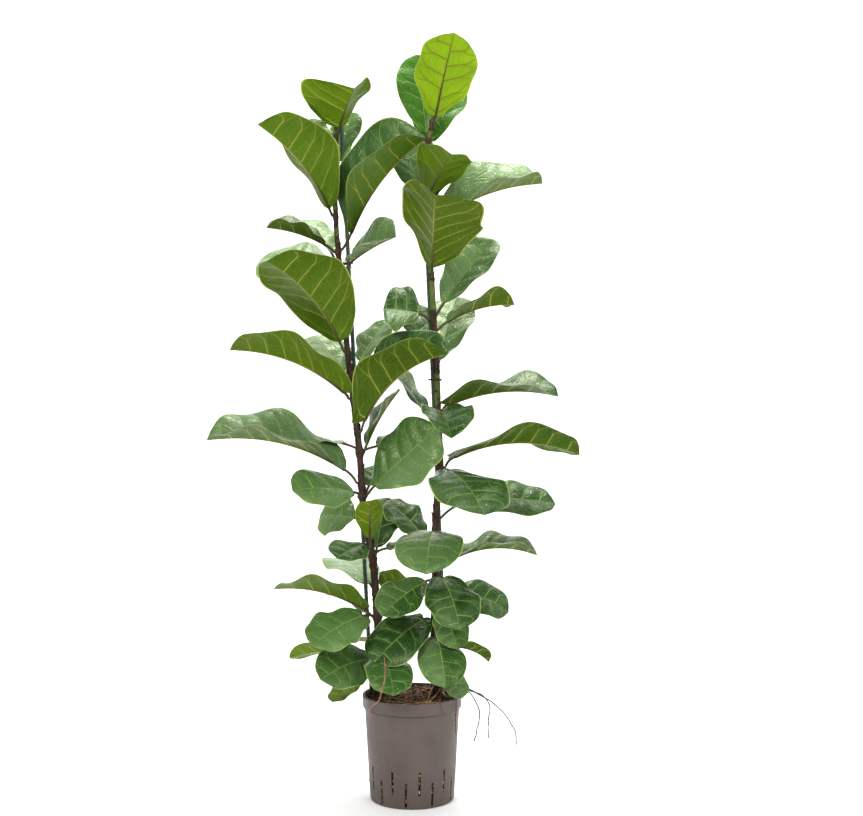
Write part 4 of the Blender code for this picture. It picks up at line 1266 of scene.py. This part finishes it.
def build_tie(side, node):
    """Two wound strands round the box that the measured tie fills."""
    low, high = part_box(node)
    centre = (np.array(low) + np.array(high)) / 2
    half = (np.array(high) - np.array(low)) / 2 - 2.0 * TIE_STRAND
    stem, stake = np.array(STEMS[side][8][:2]), np.array(STAKES[side][1][:2])
    slant = math.atan2(STAKE_BACK, (stake - stem)[0]) if side == "left" else math.pi / 2
    points, faces = [], []
    for strand in range(2):
        path = []
        for k in range(TIE_STEPS + 1):
            a = 2.0 * math.pi * k / TIE_STEPS
            wind = TIE_TWISTS * a + math.pi * strand
            out = 1.0 + TIE_STRAND / half[0] * math.cos(wind)
            path.append((centre[0] + half[0] * out * math.cos(a), centre[1] + half[1] * out * math.sin(a),
                         centre[2] + TIE_STRAND * math.sin(wind) + 0.0006 * math.sin(2 * a + slant)))
        add_shape(points, faces, *tube(path, [TIE_STRAND] * len(path), TIE_SIDES))
        front = np.array((centre[0] + 0.3 * half[0], centre[1] - half[1], centre[2]))
        hand = 1 if strand else -1
        loose_end = [front, front + (0.003 * hand, -0.003, 0.002), front + (0.008 * hand, -0.004, -0.003),
                     front + (0.010 * hand, -0.003, -0.009)]
        loose = smooth_path(loose_end, 5)
        add_shape(points, faces, *tube(loose, [TIE_STRAND] * len(loose), TIE_SIDES))
    tie = new_piece("grown_" + node, points, faces, [tie_cord])
    return finish_piece(tie, "tie_cord", node)


for side in STEMS:
    print(build_tie(side, "tie_" + side).name)

# %% [markdown]
# ## Pot
# A grower's pot is thin moulded plastic: a tapered bowl with a collar that stands proud, and
# two staggered rows of air slots near the foot. The slots are left out of the wall's grid,
# with their sides closed, rather than cut afterwards, so every face stays a clean quad.

# %% Pot finish
COLLAR_FOOT = 0.1676          # height of the shadow line under the collar
pot_skin, t, shader, spot, wear = worn_material("grower_pot_plastic", 30.0, 3.0, 0.52, 0.22)
height_up = split(t, spot)[2]
broad = speckle(t, spot, 14.0, 3.0)
plastic = blend_colours(t, broad, (0.078, 0.060, 0.053), (0.124, 0.095, 0.083))
streaky = blend_colours(t, times(t, wear["Streak"], 0.30), plastic, (0.145, 0.118, 0.104))
# The pot's colour turns darker towards its foot, over the lowest 7.5 cm.
towards_foot = remap(t, height_up, 0.075, 0.0, 0.0, 0.35)
grey = blend_colours(t, towards_foot, streaky, (0.060, 0.050, 0.046))
# Painted shadow: a thin dark line just under the collar, where the collar's overhang shades the wall.
from_collar = calc(t, "ABSOLUTE", minus(t, height_up, COLLAR_FOOT))
painted_collar_shadow = remap(t, from_collar, 0.0005, 0.0014, 0.8, 0.0)
grey = blend_colours(t, painted_collar_shadow, grey, (0.022, 0.017, 0.014))
flecks = add_node(t, "ShaderNodeTexVoronoi", {"Vector": spot, "Scale": 120.0}).outputs[0]
sparse = remap(t, speckle(t, spot, 45.0, 1.0), 0.58, 0.62)
fleck = times(t, remap(t, flecks, 0.05, 0.11, 1.0, 0.0), sparse)
paint(t, shader, blend_colours(t, times(t, fleck, 0.7), grey, (0.380, 0.350, 0.320)))
feed(t, remap(t, wear["Streak"], 0.0, 1.0, 0.38, 0.56), shader.inputs["Roughness"])
grain = speckle(t, spot, 900.0, 2.0)
add_bump(t, shader, plus(t, grain, times(t, wear["Height"], 0.8)), 0.00045, 0.8)

# %% Mould the pot
POT_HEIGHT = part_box("pot")[1].z
RIM_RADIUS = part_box("pot")[1].x
COLLAR_HEIGHT = 0.022
SHOULDER_RADIUS = 0.0855
BASE_RADIUS = 0.0760
WALL = 0.0020
EDGE = 0.0012
FILLET = 0.0040
FLOOR_THICKNESS = 0.0030
SLOT_HALF_WIDTH = 0.0021
SLOT_HEIGHT = 0.042
SLOTS_PER_ROW = 10
SLOT_ROW_BOTTOMS = (0.0048, 0.025)
SLOT_PHASE = 0.29             # turns the slots, as a share of the distance between two in a row
COLUMNS_BETWEEN = 6           # wall columns between two slots
WALL_START = 7                # points of the profile below the straight wall


def in_slot_row(z, row):
    """Whether a height is within a row of slots."""
    bottom = SLOT_ROW_BOTTOMS[row]
    return bottom - 1e-6 <= z <= bottom + SLOT_HEIGHT + 1e-6


def pot_angles():
    """Angles round the pot, with a column edge on each side of every slot."""
    spacing = math.pi / SLOTS_PER_ROW
    half = SLOT_HALF_WIDTH / BASE_RADIUS
    angles, slot_at = [], {}
    for k in range(2 * SLOTS_PER_ROW):
        centre = 2.0 * SLOT_PHASE * spacing + k * spacing
        slot_at[len(angles)] = k % 2
        angles.append(centre - half)
        angles.append(centre + half)
        step = (spacing - 2.0 * half) / COLUMNS_BETWEEN
        angles.extend(centre + half + step * i for i in range(1, COLUMNS_BETWEEN))
    return angles, slot_at


def pot_heights():
    """Heights of the wall's rows, with a row edge at both ends of every slot."""
    ends = [z for bottom in SLOT_ROW_BOTTOMS for z in (bottom, bottom + SLOT_HEIGHT)]
    plain = [0.0150, 0.0360, 0.0570, 0.080, 0.095, 0.115, 0.135, 0.152]
    return sorted(ends + plain)


def wall_radius(z, inner):
    """Radius of the tapered wall."""
    share = (z - FILLET) / (POT_HEIGHT - COLLAR_HEIGHT - EDGE - FILLET)
    radius = BASE_RADIUS + (SHOULDER_RADIUS - BASE_RADIUS) * share
    return radius - WALL if inner else radius


def pot_profile():
    """(radius, height) from the middle of the underside to the rim, then down to the floor."""
    collar = POT_HEIGHT - COLLAR_HEIGHT
    bore = RIM_RADIUS - WALL - 2.0 * EDGE
    heights = pot_heights()
    outside = [(0.012, 0.0014), (0.060, 0.0014), (0.0625, 0.0), (BASE_RADIUS - FILLET, 0.0),
               (BASE_RADIUS - 0.45 * FILLET, 0.12 * FILLET), (BASE_RADIUS - 0.12 * FILLET, 0.45 * FILLET),
               (BASE_RADIUS, FILLET)]
    outside += [(wall_radius(z, False), z) for z in heights]
    outside += [(SHOULDER_RADIUS, collar - 0.0030), (SHOULDER_RADIUS + 0.0006, collar - EDGE),
                (RIM_RADIUS - 1.4 * EDGE, collar - 0.0004), (RIM_RADIUS - 0.9 * EDGE, collar + 0.0004),
                (RIM_RADIUS - 0.6 * EDGE, collar + EDGE),
                (RIM_RADIUS - 0.5 * EDGE, collar + 0.5 * COLLAR_HEIGHT),
                (RIM_RADIUS - 0.5 * EDGE, POT_HEIGHT - 4.0 * EDGE),
                (RIM_RADIUS - 0.1 * EDGE, POT_HEIGHT - 3.2 * EDGE),
                (RIM_RADIUS, POT_HEIGHT - 2.4 * EDGE), (RIM_RADIUS, POT_HEIGHT - 0.8 * EDGE),
                (RIM_RADIUS - 0.3 * EDGE, POT_HEIGHT - 0.2 * EDGE), (RIM_RADIUS - EDGE, POT_HEIGHT)]
    inside = [(bore + EDGE, POT_HEIGHT), (bore + 0.3 * EDGE, POT_HEIGHT - 0.3 * EDGE),
              (bore, POT_HEIGHT - EDGE), (bore, collar + 0.002),
              (SHOULDER_RADIUS - WALL, collar - 0.003)]
    inside += [(wall_radius(z, True), z) for z in reversed(heights)]
    inside += [(BASE_RADIUS - WALL - 0.3 * FILLET, FLOOR_THICKNESS + 0.3 * FILLET),
               (BASE_RADIUS - WALL - FILLET, FLOOR_THICKNESS), (0.012, FLOOR_THICKNESS)]
    return outside, inside


def build_pot():
    """Grid the pot's skin round and round, leaving the slots open and closing their sides."""
    angles, slot_at = pot_angles()
    outside, inside = pot_profile()
    profile = outside + inside
    count = len(angles)
    points = [(r * math.cos(a), r * math.sin(a), z) for r, z in profile for a in angles]
    heights = [z for _, z in profile]
    in_slot = set()
    for column, row in slot_at.items():
        for i in range(WALL_START, len(profile) - 1):
            if in_slot_row(heights[i], row) and in_slot_row(heights[i + 1], row):
                in_slot.add((i, column))
    faces = []
    for i in range(len(profile) - 1):
        for j in range(count):
            if (i, j) not in in_slot:
                k = (j + 1) % count
                faces.append((i * count + j, i * count + k, (i + 1) * count + k, (i + 1) * count + j))
    for row_at in (0, len(profile) - 1):
        points.append((0.0, 0.0, heights[row_at]))
        pole = len(points) - 1
        for j in range(count):
            k = (j + 1) % count
            edge = (row_at * count + j, row_at * count + k)
            faces.append((pole, edge[1], edge[0]) if row_at == 0 else (pole, edge[0], edge[1]))
    faces += slot_sides(profile, slot_at, count)
    return new_piece("grown_pot", points, faces, [pot_skin], sharp_degrees=38.0)


def slot_sides(profile, slot_at, count):
    """Close each slot between the outer and the inner wall."""
    faces = []
    heights = [z for _, z in profile]
    split_at = heights.index(max(heights))
    for column, row in slot_at.items():
        outer = [i for i in range(WALL_START, split_at) if in_slot_row(heights[i], row)]
        inner = [i for i in range(len(profile) - 1, split_at, -1) if in_slot_row(heights[i], row)]
        other = (column + 1) % count
        for (a, b), (c, d) in zip(zip(outer, outer[1:]), zip(inner, inner[1:])):
            faces.append((a * count + column, b * count + column, d * count + column, c * count + column))
            faces.append((b * count + other, a * count + other, c * count + other, d * count + other))
        bottom, top = (outer[0], inner[0]), (outer[-1], inner[-1])
        faces.append((bottom[0] * count + other, bottom[0] * count + column,
                      bottom[1] * count + column, bottom[1] * count + other))
        faces.append((top[0] * count + column, top[0] * count + other,
                      top[1] * count + other, top[1] * count + column))
    return faces


pot = build_pot()
finish_piece(pot, "pot_plastic", "pot")
print("pot:", len(pot.data.polygons), "faces,", 2 * SLOTS_PER_ROW, "slots")

# %% [markdown]
# ## Soil
# The pot is full of a coarse bark mix bound by fine roots. A mounded body fills it and shows
# through the slots. Chips and fibres are small shapes scattered over its top, and a few long
# roots are laid one by one along the front rim.

# %% Soil finish
soil_mix, t, shader = new_material("bark_mix", roughness=0.95, specular=0.15)
spot = own_place(t)
lumps = add_node(t, "ShaderNodeTexVoronoi", {"Vector": spot, "Scale": 190.0}).outputs
patch = speckle(t, spot, 70.0, 4.0, 0.7)
earth = blend_colours(t, patch, (0.010, 0.005, 0.003), (0.065, 0.030, 0.014))
crumb_tone = split(t, lumps["Color"])
chosen = calc(t, "GREATER_THAN", crumb_tone[0], 0.80)
crumb = times(t, chosen, remap(t, lumps["Distance"], 0.25, 0.5, 1.0, 0.0))
crumb_colour = blend_colours(t, crumb_tone[1], (0.330, 0.090, 0.030), (0.420, 0.300, 0.120))
paint(t, shader, blend_colours(t, times(t, crumb, 0.85), earth, crumb_colour))
add_bump(t, shader, plus(t, patch, lumps["Distance"]), 0.003, 1.0)

chip_bark, t, shader, spot, wear = worn_material("bark_chip", 170.0, 1.0, roughness=0.85, specular=0.25)
blotch = speckle(t, spot, 85.0, 2.0)
tone = blend_colours(t, remap(t, blotch, 0.35, 0.68), (0.022, 0.009, 0.005), (0.125, 0.055, 0.026))
paint(t, shader, blend_colours(t, times(t, wear["Speck"], 0.6), tone, (0.240, 0.140, 0.075)))
add_bump(t, shader, wear["Height"], 0.0010, 1.0)

root_skin, t, shader, spot, wear = worn_material("dry_root", 220.0, 1.0, roughness=0.78, specular=0.3)
side_ways = split(t, spot)[0]
tan = blend_colours(t, wear["Streak"], (0.170, 0.070, 0.040), (0.400, 0.210, 0.120))
brown = blend_colours(t, wear["Streak"], (0.060, 0.024, 0.016), (0.170, 0.078, 0.045))
pale = blend_colours(t, wear["Streak"], (0.050, 0.047, 0.043), (0.120, 0.113, 0.104))
rim_tone = blend_colours(t, remap(t, side_ways, -0.010, 0.010), tan, brown)
paint(t, shader, blend_colours(t, remap(t, side_ways, 0.088, 0.094), rim_tone, pale))
add_bump(t, shader, wear["Height"], 0.0005, 0.8)

fibre_skin, t, shader, spot, wear = worn_material("tan_fibre", 120.0, 1.0, roughness=0.8, specular=0.25)
paint(t, shader, blend_colours(t, wear["Streak"], (0.200, 0.090, 0.036), (0.500, 0.300, 0.150)))
add_bump(t, shader, wear["Height"], 0.0003, 0.6)

# %% Fill the pot
SOIL_MOUND = 0.004
SOIL_RINGS = 34
SOIL_SIDES = 96
SOIL_CLEAR = 0.0006           # gap between the soil and the pot's wall
SOIL_SHOULDER = 0.160         # the soil's side starts this high
SOIL_SIDE_ROUGH = 0.0007
SOIL_FLOOR = FLOOR_THICKNESS + 0.0003


def soil_height(x, y):
    """Height of the lumpy soil."""
    share = math.hypot(x, y) / (SHOULDER_RADIUS - WALL)
    broad_lumps = 0.0016 * noise.noise(Vector((x, y, 0.0)) * 95.0)
    lumps_here = broad_lumps + 0.0010 * noise.noise(Vector((x, y, 3.0)) * 260.0)
    edge_drop = 0.0025 * smooth_step(share, 0.90, 1.0)
    return SOIL_TOP + SOIL_MOUND * (1.0 - share ** 2) + lumps_here - edge_drop


def build_soil():
    """A lumpy top, the tapered side that shows through the slots, and a flat foot."""
    points, faces = [(0.0, 0.0, soil_height(0.0, 0.0))], []
    outer = SHOULDER_RADIUS - WALL - SOIL_CLEAR
    rings = [("top", outer * (i + 1) / SOIL_RINGS) for i in range(SOIL_RINGS)]
    rings += [("side", z) for z in np.linspace(SOIL_SHOULDER, FLOOR_THICKNESS + FILLET, 22)]
    rings += [("foot", BASE_RADIUS - WALL - FILLET)]
    for kind, value in rings:
        for k in range(SOIL_SIDES):
            a = 2.0 * math.pi * k / SOIL_SIDES
            if kind == "top":
                x, y = value * math.cos(a), value * math.sin(a)
                points.append((x, y, soil_height(x, y)))
            elif kind == "side":
                spot = Vector((math.cos(a) * 9.0, math.sin(a) * 9.0, value * 120.0))
                rough = SOIL_SIDE_ROUGH * noise.noise(spot)
                radius = wall_radius(value, True) - SOIL_CLEAR - SOIL_SIDE_ROUGH + rough
                points.append((radius * math.cos(a), radius * math.sin(a), value))
            else:
                points.append((value * math.cos(a), value * math.sin(a), SOIL_FLOOR))
    points.append((0.0, 0.0, SOIL_FLOOR))
    last = len(points) - 1
    foot = last - SOIL_SIDES
    for k in range(SOIL_SIDES):
        j = (k + 1) % SOIL_SIDES
        faces.append((0, 1 + k, 1 + j))
        faces.append((last, foot + j, foot + k))
        for i in range(len(rings) - 1):
            a, b = 1 + i * SOIL_SIDES, 1 + (i + 1) * SOIL_SIDES
            faces.append((a + k, b + k, b + j, a + j))
    return new_piece("grown_soil", points, faces, [soil_mix], sharp_degrees=None)


soil = build_soil()
finish_piece(soil, "soil", "soil")
print("soil:", len(soil.data.polygons), "faces")

# %% Scatter chips and fibres
CHIP_DENSITY = 42000.0        # chips for each square metre of soil
FIBRE_DENSITY = 9000.0
CHIP_SIZE = 0.0034


def chip_object():
    """A rough splinter of bark with a couple of dozen faces."""
    mesh = bmesh.new()
    bmesh.ops.create_icosphere(mesh, subdivisions=1, radius=1.0)
    for vert in mesh.verts:
        vert.co *= 1.0 + 0.35 * noise.noise(vert.co * 2.3)
        vert.co.x *= 1.7
        vert.co.z *= 0.55
    data = bpy.data.meshes.new("chip")
    mesh.to_mesh(data)
    mesh.free()
    chip = bpy.data.objects.new("chip", data)
    bpy.context.scene.collection.objects.link(chip)
    return chip


def fibre_object():
    """A short curled root thread, one unit long."""
    path = smooth_path([(-0.5, 0.0, 0.0), (-0.2, 0.09, 0.05), (0.1, -0.06, 0.06), (0.5, 0.10, 0.0)], 3)
    points, faces = tube(path, np.linspace(0.018, 0.030, len(path)), 4)
    return new_piece("fibre", points, faces, [])


scatter_rule, given, made = new_rule(
    "soil_scatter_rule",
    [("Shape", "NodeSocketObject"), ("Density", "NodeSocketFloat"), ("Size", "NodeSocketFloat"),
     ("Tilt", "NodeSocketFloat"), ("Seed", "NodeSocketInt"), ("Finish", "NodeSocketMaterial")])
t = scatter_rule
ground = {"Mesh": given["Geometry"], "Density": given["Density"], "Seed": given["Seed"]}
spread = add_node(t, "GeometryNodeDistributePointsOnFaces", ground).outputs["Points"]
tilt_back = times(t, given["Tilt"], -1.0)
tilt_low = join(t, tilt_back, tilt_back, 0.0)
tilt_high = join(t, given["Tilt"], given["Tilt"], FULL_TURN)
turned = random_vector(t, tilt_low, tilt_high, plus(t, given["Seed"], 3.0))
grown = times(t, given["Size"], random_number(t, 0.45, 1.55, plus(t, given["Seed"], 5.0)))
placed = set_copies(t, spread, shape_of(t, given["Shape"]), turned, grown)
end_rule(t, make_real(t, placed), given["Finish"], made)


def soil_disc(radius):
    """A flat-ish disc on the soil that the scatter starts from."""
    rings, sides = 8, 32
    points = [(0.0, 0.0, soil_height(0.0, 0.0))]
    for i in range(1, rings + 1):
        for k in range(sides):
            a = 2.0 * math.pi * k / sides
            x, y = radius * i / rings * math.cos(a), radius * i / rings * math.sin(a)
            points.append((x, y, soil_height(x, y) + 0.0004))
    faces = [(0, 1 + k, 1 + (k + 1) % sides) for k in range(sides)]
    for i in range(rings - 1):
        for k in range(sides):
            a, b, j = 1 + i * sides, 1 + (i + 1) * sides, (k + 1) % sides
            faces.append((a + k, b + k, b + j, a + j))
    return new_piece("soil_disc", points, faces, [])


for name, make_shape, density, size, tilt, seed, finish, slot in (
        ("soil_chips", chip_object, CHIP_DENSITY, CHIP_SIZE, 0.7, 21, chip_bark, "soil"),
        ("soil_fibres", fibre_object, FIBRE_DENSITY, 0.020, 0.22, 22, fibre_skin, "root")):
    pattern = make_shape()
    scattered = apply_rule(name, soil_disc(SHOULDER_RADIUS - WALL - 0.006), scatter_rule, {
        "Shape": pattern, "Density": density, "Size": size, "Tilt": tilt, "Seed": seed, "Finish": finish})
    bpy.data.objects.remove(pattern, do_unlink=True)
    finish_piece(scattered, slot)
    print(name, len(scattered.data.polygons), "faces")

# %% [markdown]
# Crumbs of bark and clay show in the air slots and jut out a little. They are the chip
# shape again, this time set on loose points just behind each slot by a short tree.

# %% Crumbs in the slots
CRUMBS_PER_SLOT = 11
CRUMB_SIZE = 0.0013

slot_crumb, t, shader = new_material("slot_crumb", roughness=0.9, specular=0.2)
spot = own_place(t)
tones = split(t, add_node(t, "ShaderNodeTexVoronoi", {"Vector": spot, "Scale": 260.0}).outputs["Color"])
wear = use_group(t, wear_group, {"Place": spot, "Scale": 260.0, "Stretch": 1.0})
rusty = blend_colours(t, wear["Streak"], (0.200, 0.055, 0.022), (0.480, 0.170, 0.070))
creamy = blend_colours(t, wear["Streak"], (0.340, 0.230, 0.110), (0.620, 0.500, 0.300))
earthy = blend_colours(t, calc(t, "GREATER_THAN", tones[0], 0.55), (0.030, 0.014, 0.007), rusty)
paint(t, shader, blend_colours(t, calc(t, "GREATER_THAN", tones[1], 0.72), earthy, creamy))
add_bump(t, shader, wear["Height"], 0.0008, 1.0)

crumb_rule, given, made = new_rule(
    "slot_crumb_rule",
    [("Shape", "NodeSocketObject"), ("Size", "NodeSocketFloat"), ("Seed", "NodeSocketInt"),
     ("Finish", "NodeSocketMaterial")])
t = crumb_rule
turned = random_vector(t, (0.0, 0.0, 0.0), (FULL_TURN, FULL_TURN, FULL_TURN), given["Seed"])
grown = times(t, given["Size"], random_number(t, 0.6, 1.4, plus(t, given["Seed"], 1.0)))
placed = set_copies(t, given["Geometry"], shape_of(t, given["Shape"]), turned, grown)
end_rule(t, make_real(t, placed), given["Finish"], made)

angles, slot_at = pot_angles()
crumb_random = np.random.default_rng(31)
spots = []
for column, row in slot_at.items():
    centre = angles[column] + SLOT_HALF_WIDTH / BASE_RADIUS
    for z in SLOT_ROW_BOTTOMS[row] + SLOT_HEIGHT * crumb_random.uniform(0.03, 0.97, CRUMBS_PER_SLOT):
        radius = wall_radius(z, False) - WALL * crumb_random.uniform(0.35, 0.9)
        turn = centre + crumb_random.uniform(-0.4, 0.4) * SLOT_HALF_WIDTH / BASE_RADIUS
        spots.append((radius * math.cos(turn), radius * math.sin(turn), z))
pattern = chip_object()
crumbs = apply_rule("slot_crumbs", polyline("crumb_points", spots), crumb_rule, {
    "Shape": pattern, "Size": CRUMB_SIZE, "Seed": 32, "Finish": slot_crumb})
bpy.data.objects.remove(pattern, do_unlink=True)
finish_piece(crumbs, "soil")
print(crumbs.name, len(spots), "crumbs")

# %% [markdown]
# ## Roots
# A few roots have climbed out: a reddish one grows from the left stem over a leaf and the
# rim, darker ones hang over the right, and three grey threads dangle in the air. Each
# follows its own route, thinned towards its tip and kinked a little, as dry roots are.

# %% Lay the roots
ROOT_ROUTES = {
    "root_rim_left": [(-0.0575, -0.006, 0.238), (-0.052, -0.030, 0.264), (-0.047, -0.090, 0.268),
                      (-0.0450, -0.134, 0.250), (-0.0505, -0.146, 0.226), (-0.0570, -0.132, 0.206),
                      (-0.0660, -0.090, 0.191), (-0.0735, -0.0610, 0.176), (-0.078, -0.0500, 0.158)],
    "root_rim_right": [(0.055, -0.012, 0.1880), (0.068, -0.036, 0.1890), (0.0765, -0.0470, 0.1930),
                       (0.0790, -0.0495, 0.1860), (0.0778, -0.0455, 0.160), (0.0785, -0.0400, 0.126)],
    "root_hanging_a": [(0.068, 0.034, 0.1870), (0.084, 0.036, 0.1960), (0.1105, 0.026, 0.178),
                       (0.1225, 0.018, 0.150), (0.118, 0.014, 0.120), (0.112, 0.012, 0.098)],
    "root_hanging_b": [(0.072, 0.022, 0.1870), (0.0890, 0.022, 0.1950), (0.122, 0.010, 0.187),
                       (0.140, 0.002, 0.168), (0.138, -0.004, 0.138), (0.138, -0.006, 0.110)],
    "root_hanging_c": [(0.074, 0.010, 0.1870), (0.0910, 0.008, 0.1955), (0.124, -0.006, 0.188),
                       (0.160, -0.020, 0.164), (0.184, -0.028, 0.130), (0.187, -0.030, 0.104)],
}
SHORT_RIM_ROOT = [(0.052, -0.020, 0.196), (0.050, -0.050, 0.191), (0.0500, -0.0735, 0.1925),
                  (0.0530, -0.0780, 0.182), (0.0580, -0.0740, 0.166)]
FRONT_ROOTS = [
    [(0.050, -0.010, 0.200), (0.040, -0.030, 0.190), (0.028, -0.052, 0.187), (0.010, -0.066, 0.186)],
    [(-0.020, -0.040, 0.187), (0.004, -0.062, 0.189), (0.032, -0.070, 0.190), (0.058, -0.060, 0.187)],
    [(-0.052, -0.045, 0.186), (-0.030, -0.062, 0.189), (-0.004, -0.074, 0.189), (0.020, -0.076, 0.190),
     (0.040, -0.070, 0.187)],
    [(0.020, -0.050, 0.188), (0.034, -0.068, 0.191), (0.026, -0.077, 0.190), (0.012, -0.073, 0.187)],
    [(0.044, -0.004, 0.215), (0.036, -0.020, 0.203), (0.030, -0.036, 0.192), (0.026, -0.046, 0.186)],
    [(0.060, -0.004, 0.186), (0.052, 0.020, 0.190), (0.030, 0.044, 0.189), (0.004, 0.060, 0.187)],
]


ROOT_SIDES = 8
ROOT_STEP = 0.0022
ROOT_KINK = 0.0011
KINK_SCALE = 85.0
SHORT_SEED = 30               # added to the seed of a root's short neighbour
FRONT_SEED = 10
KINK_SHIFTS = (Vector((0.0, 0.0, 0.0)), Vector((31.4, 11.7, 5.2)), Vector((-17.3, 41.9, -23.6)))


def kink_at(point, seed):
    """Three smooth numbers between -1 and 1 that depend on the place and the seed alone."""
    place = Vector(point) * KINK_SCALE + Vector((seed, 0, 0))
    return [noise.noise(place + shift) for shift in KINK_SHIFTS]


def root_tube(points, thick, thin, seed):
    """A kinked, tapering thread."""
    path = dense_path(points, ROOT_STEP)
    kinks = np.array([kink_at(point, seed) for point in path])
    ends = np.minimum(np.arange(len(path)), np.arange(len(path))[::-1]) / 6.0
    path = path + kinks * ROOT_KINK * np.clip(ends, 0.0, 1.0)[:, None]
    radii = np.linspace(thick, thin, len(path))
    radii *= 1.0 + 0.18 * np.array([noise.noise(Vector(p) * 300.0) for p in path])
    return tube(path, radii, ROOT_SIDES)


for seed, (name, route) in enumerate(ROOT_ROUTES.items()):
    hanging = name.startswith("root_hanging")
    thick, thin = (0.0013, 0.0011) if hanging else (0.0016, 0.0008)
    points, faces = root_tube(route, thick, thin, seed)
    if name == "root_rim_right":
        add_shape(points, faces, *root_tube(SHORT_RIM_ROOT, 0.0011, 0.0006, seed + SHORT_SEED))
    root = new_piece("grown_" + name, points, faces, [root_skin])
    finish_piece(root, "root", name)
points, faces = [], []
for seed, route in enumerate(FRONT_ROOTS):
    add_shape(points, faces, *root_tube(route, 0.0015, 0.0006, FRONT_SEED + seed))
finish_piece(new_piece("surface_roots", points, faces, [fibre_skin]), "root")
print("roots:", len(ROOT_ROUTES), "over the rim and", len(FRONT_ROOTS), "on the soil")
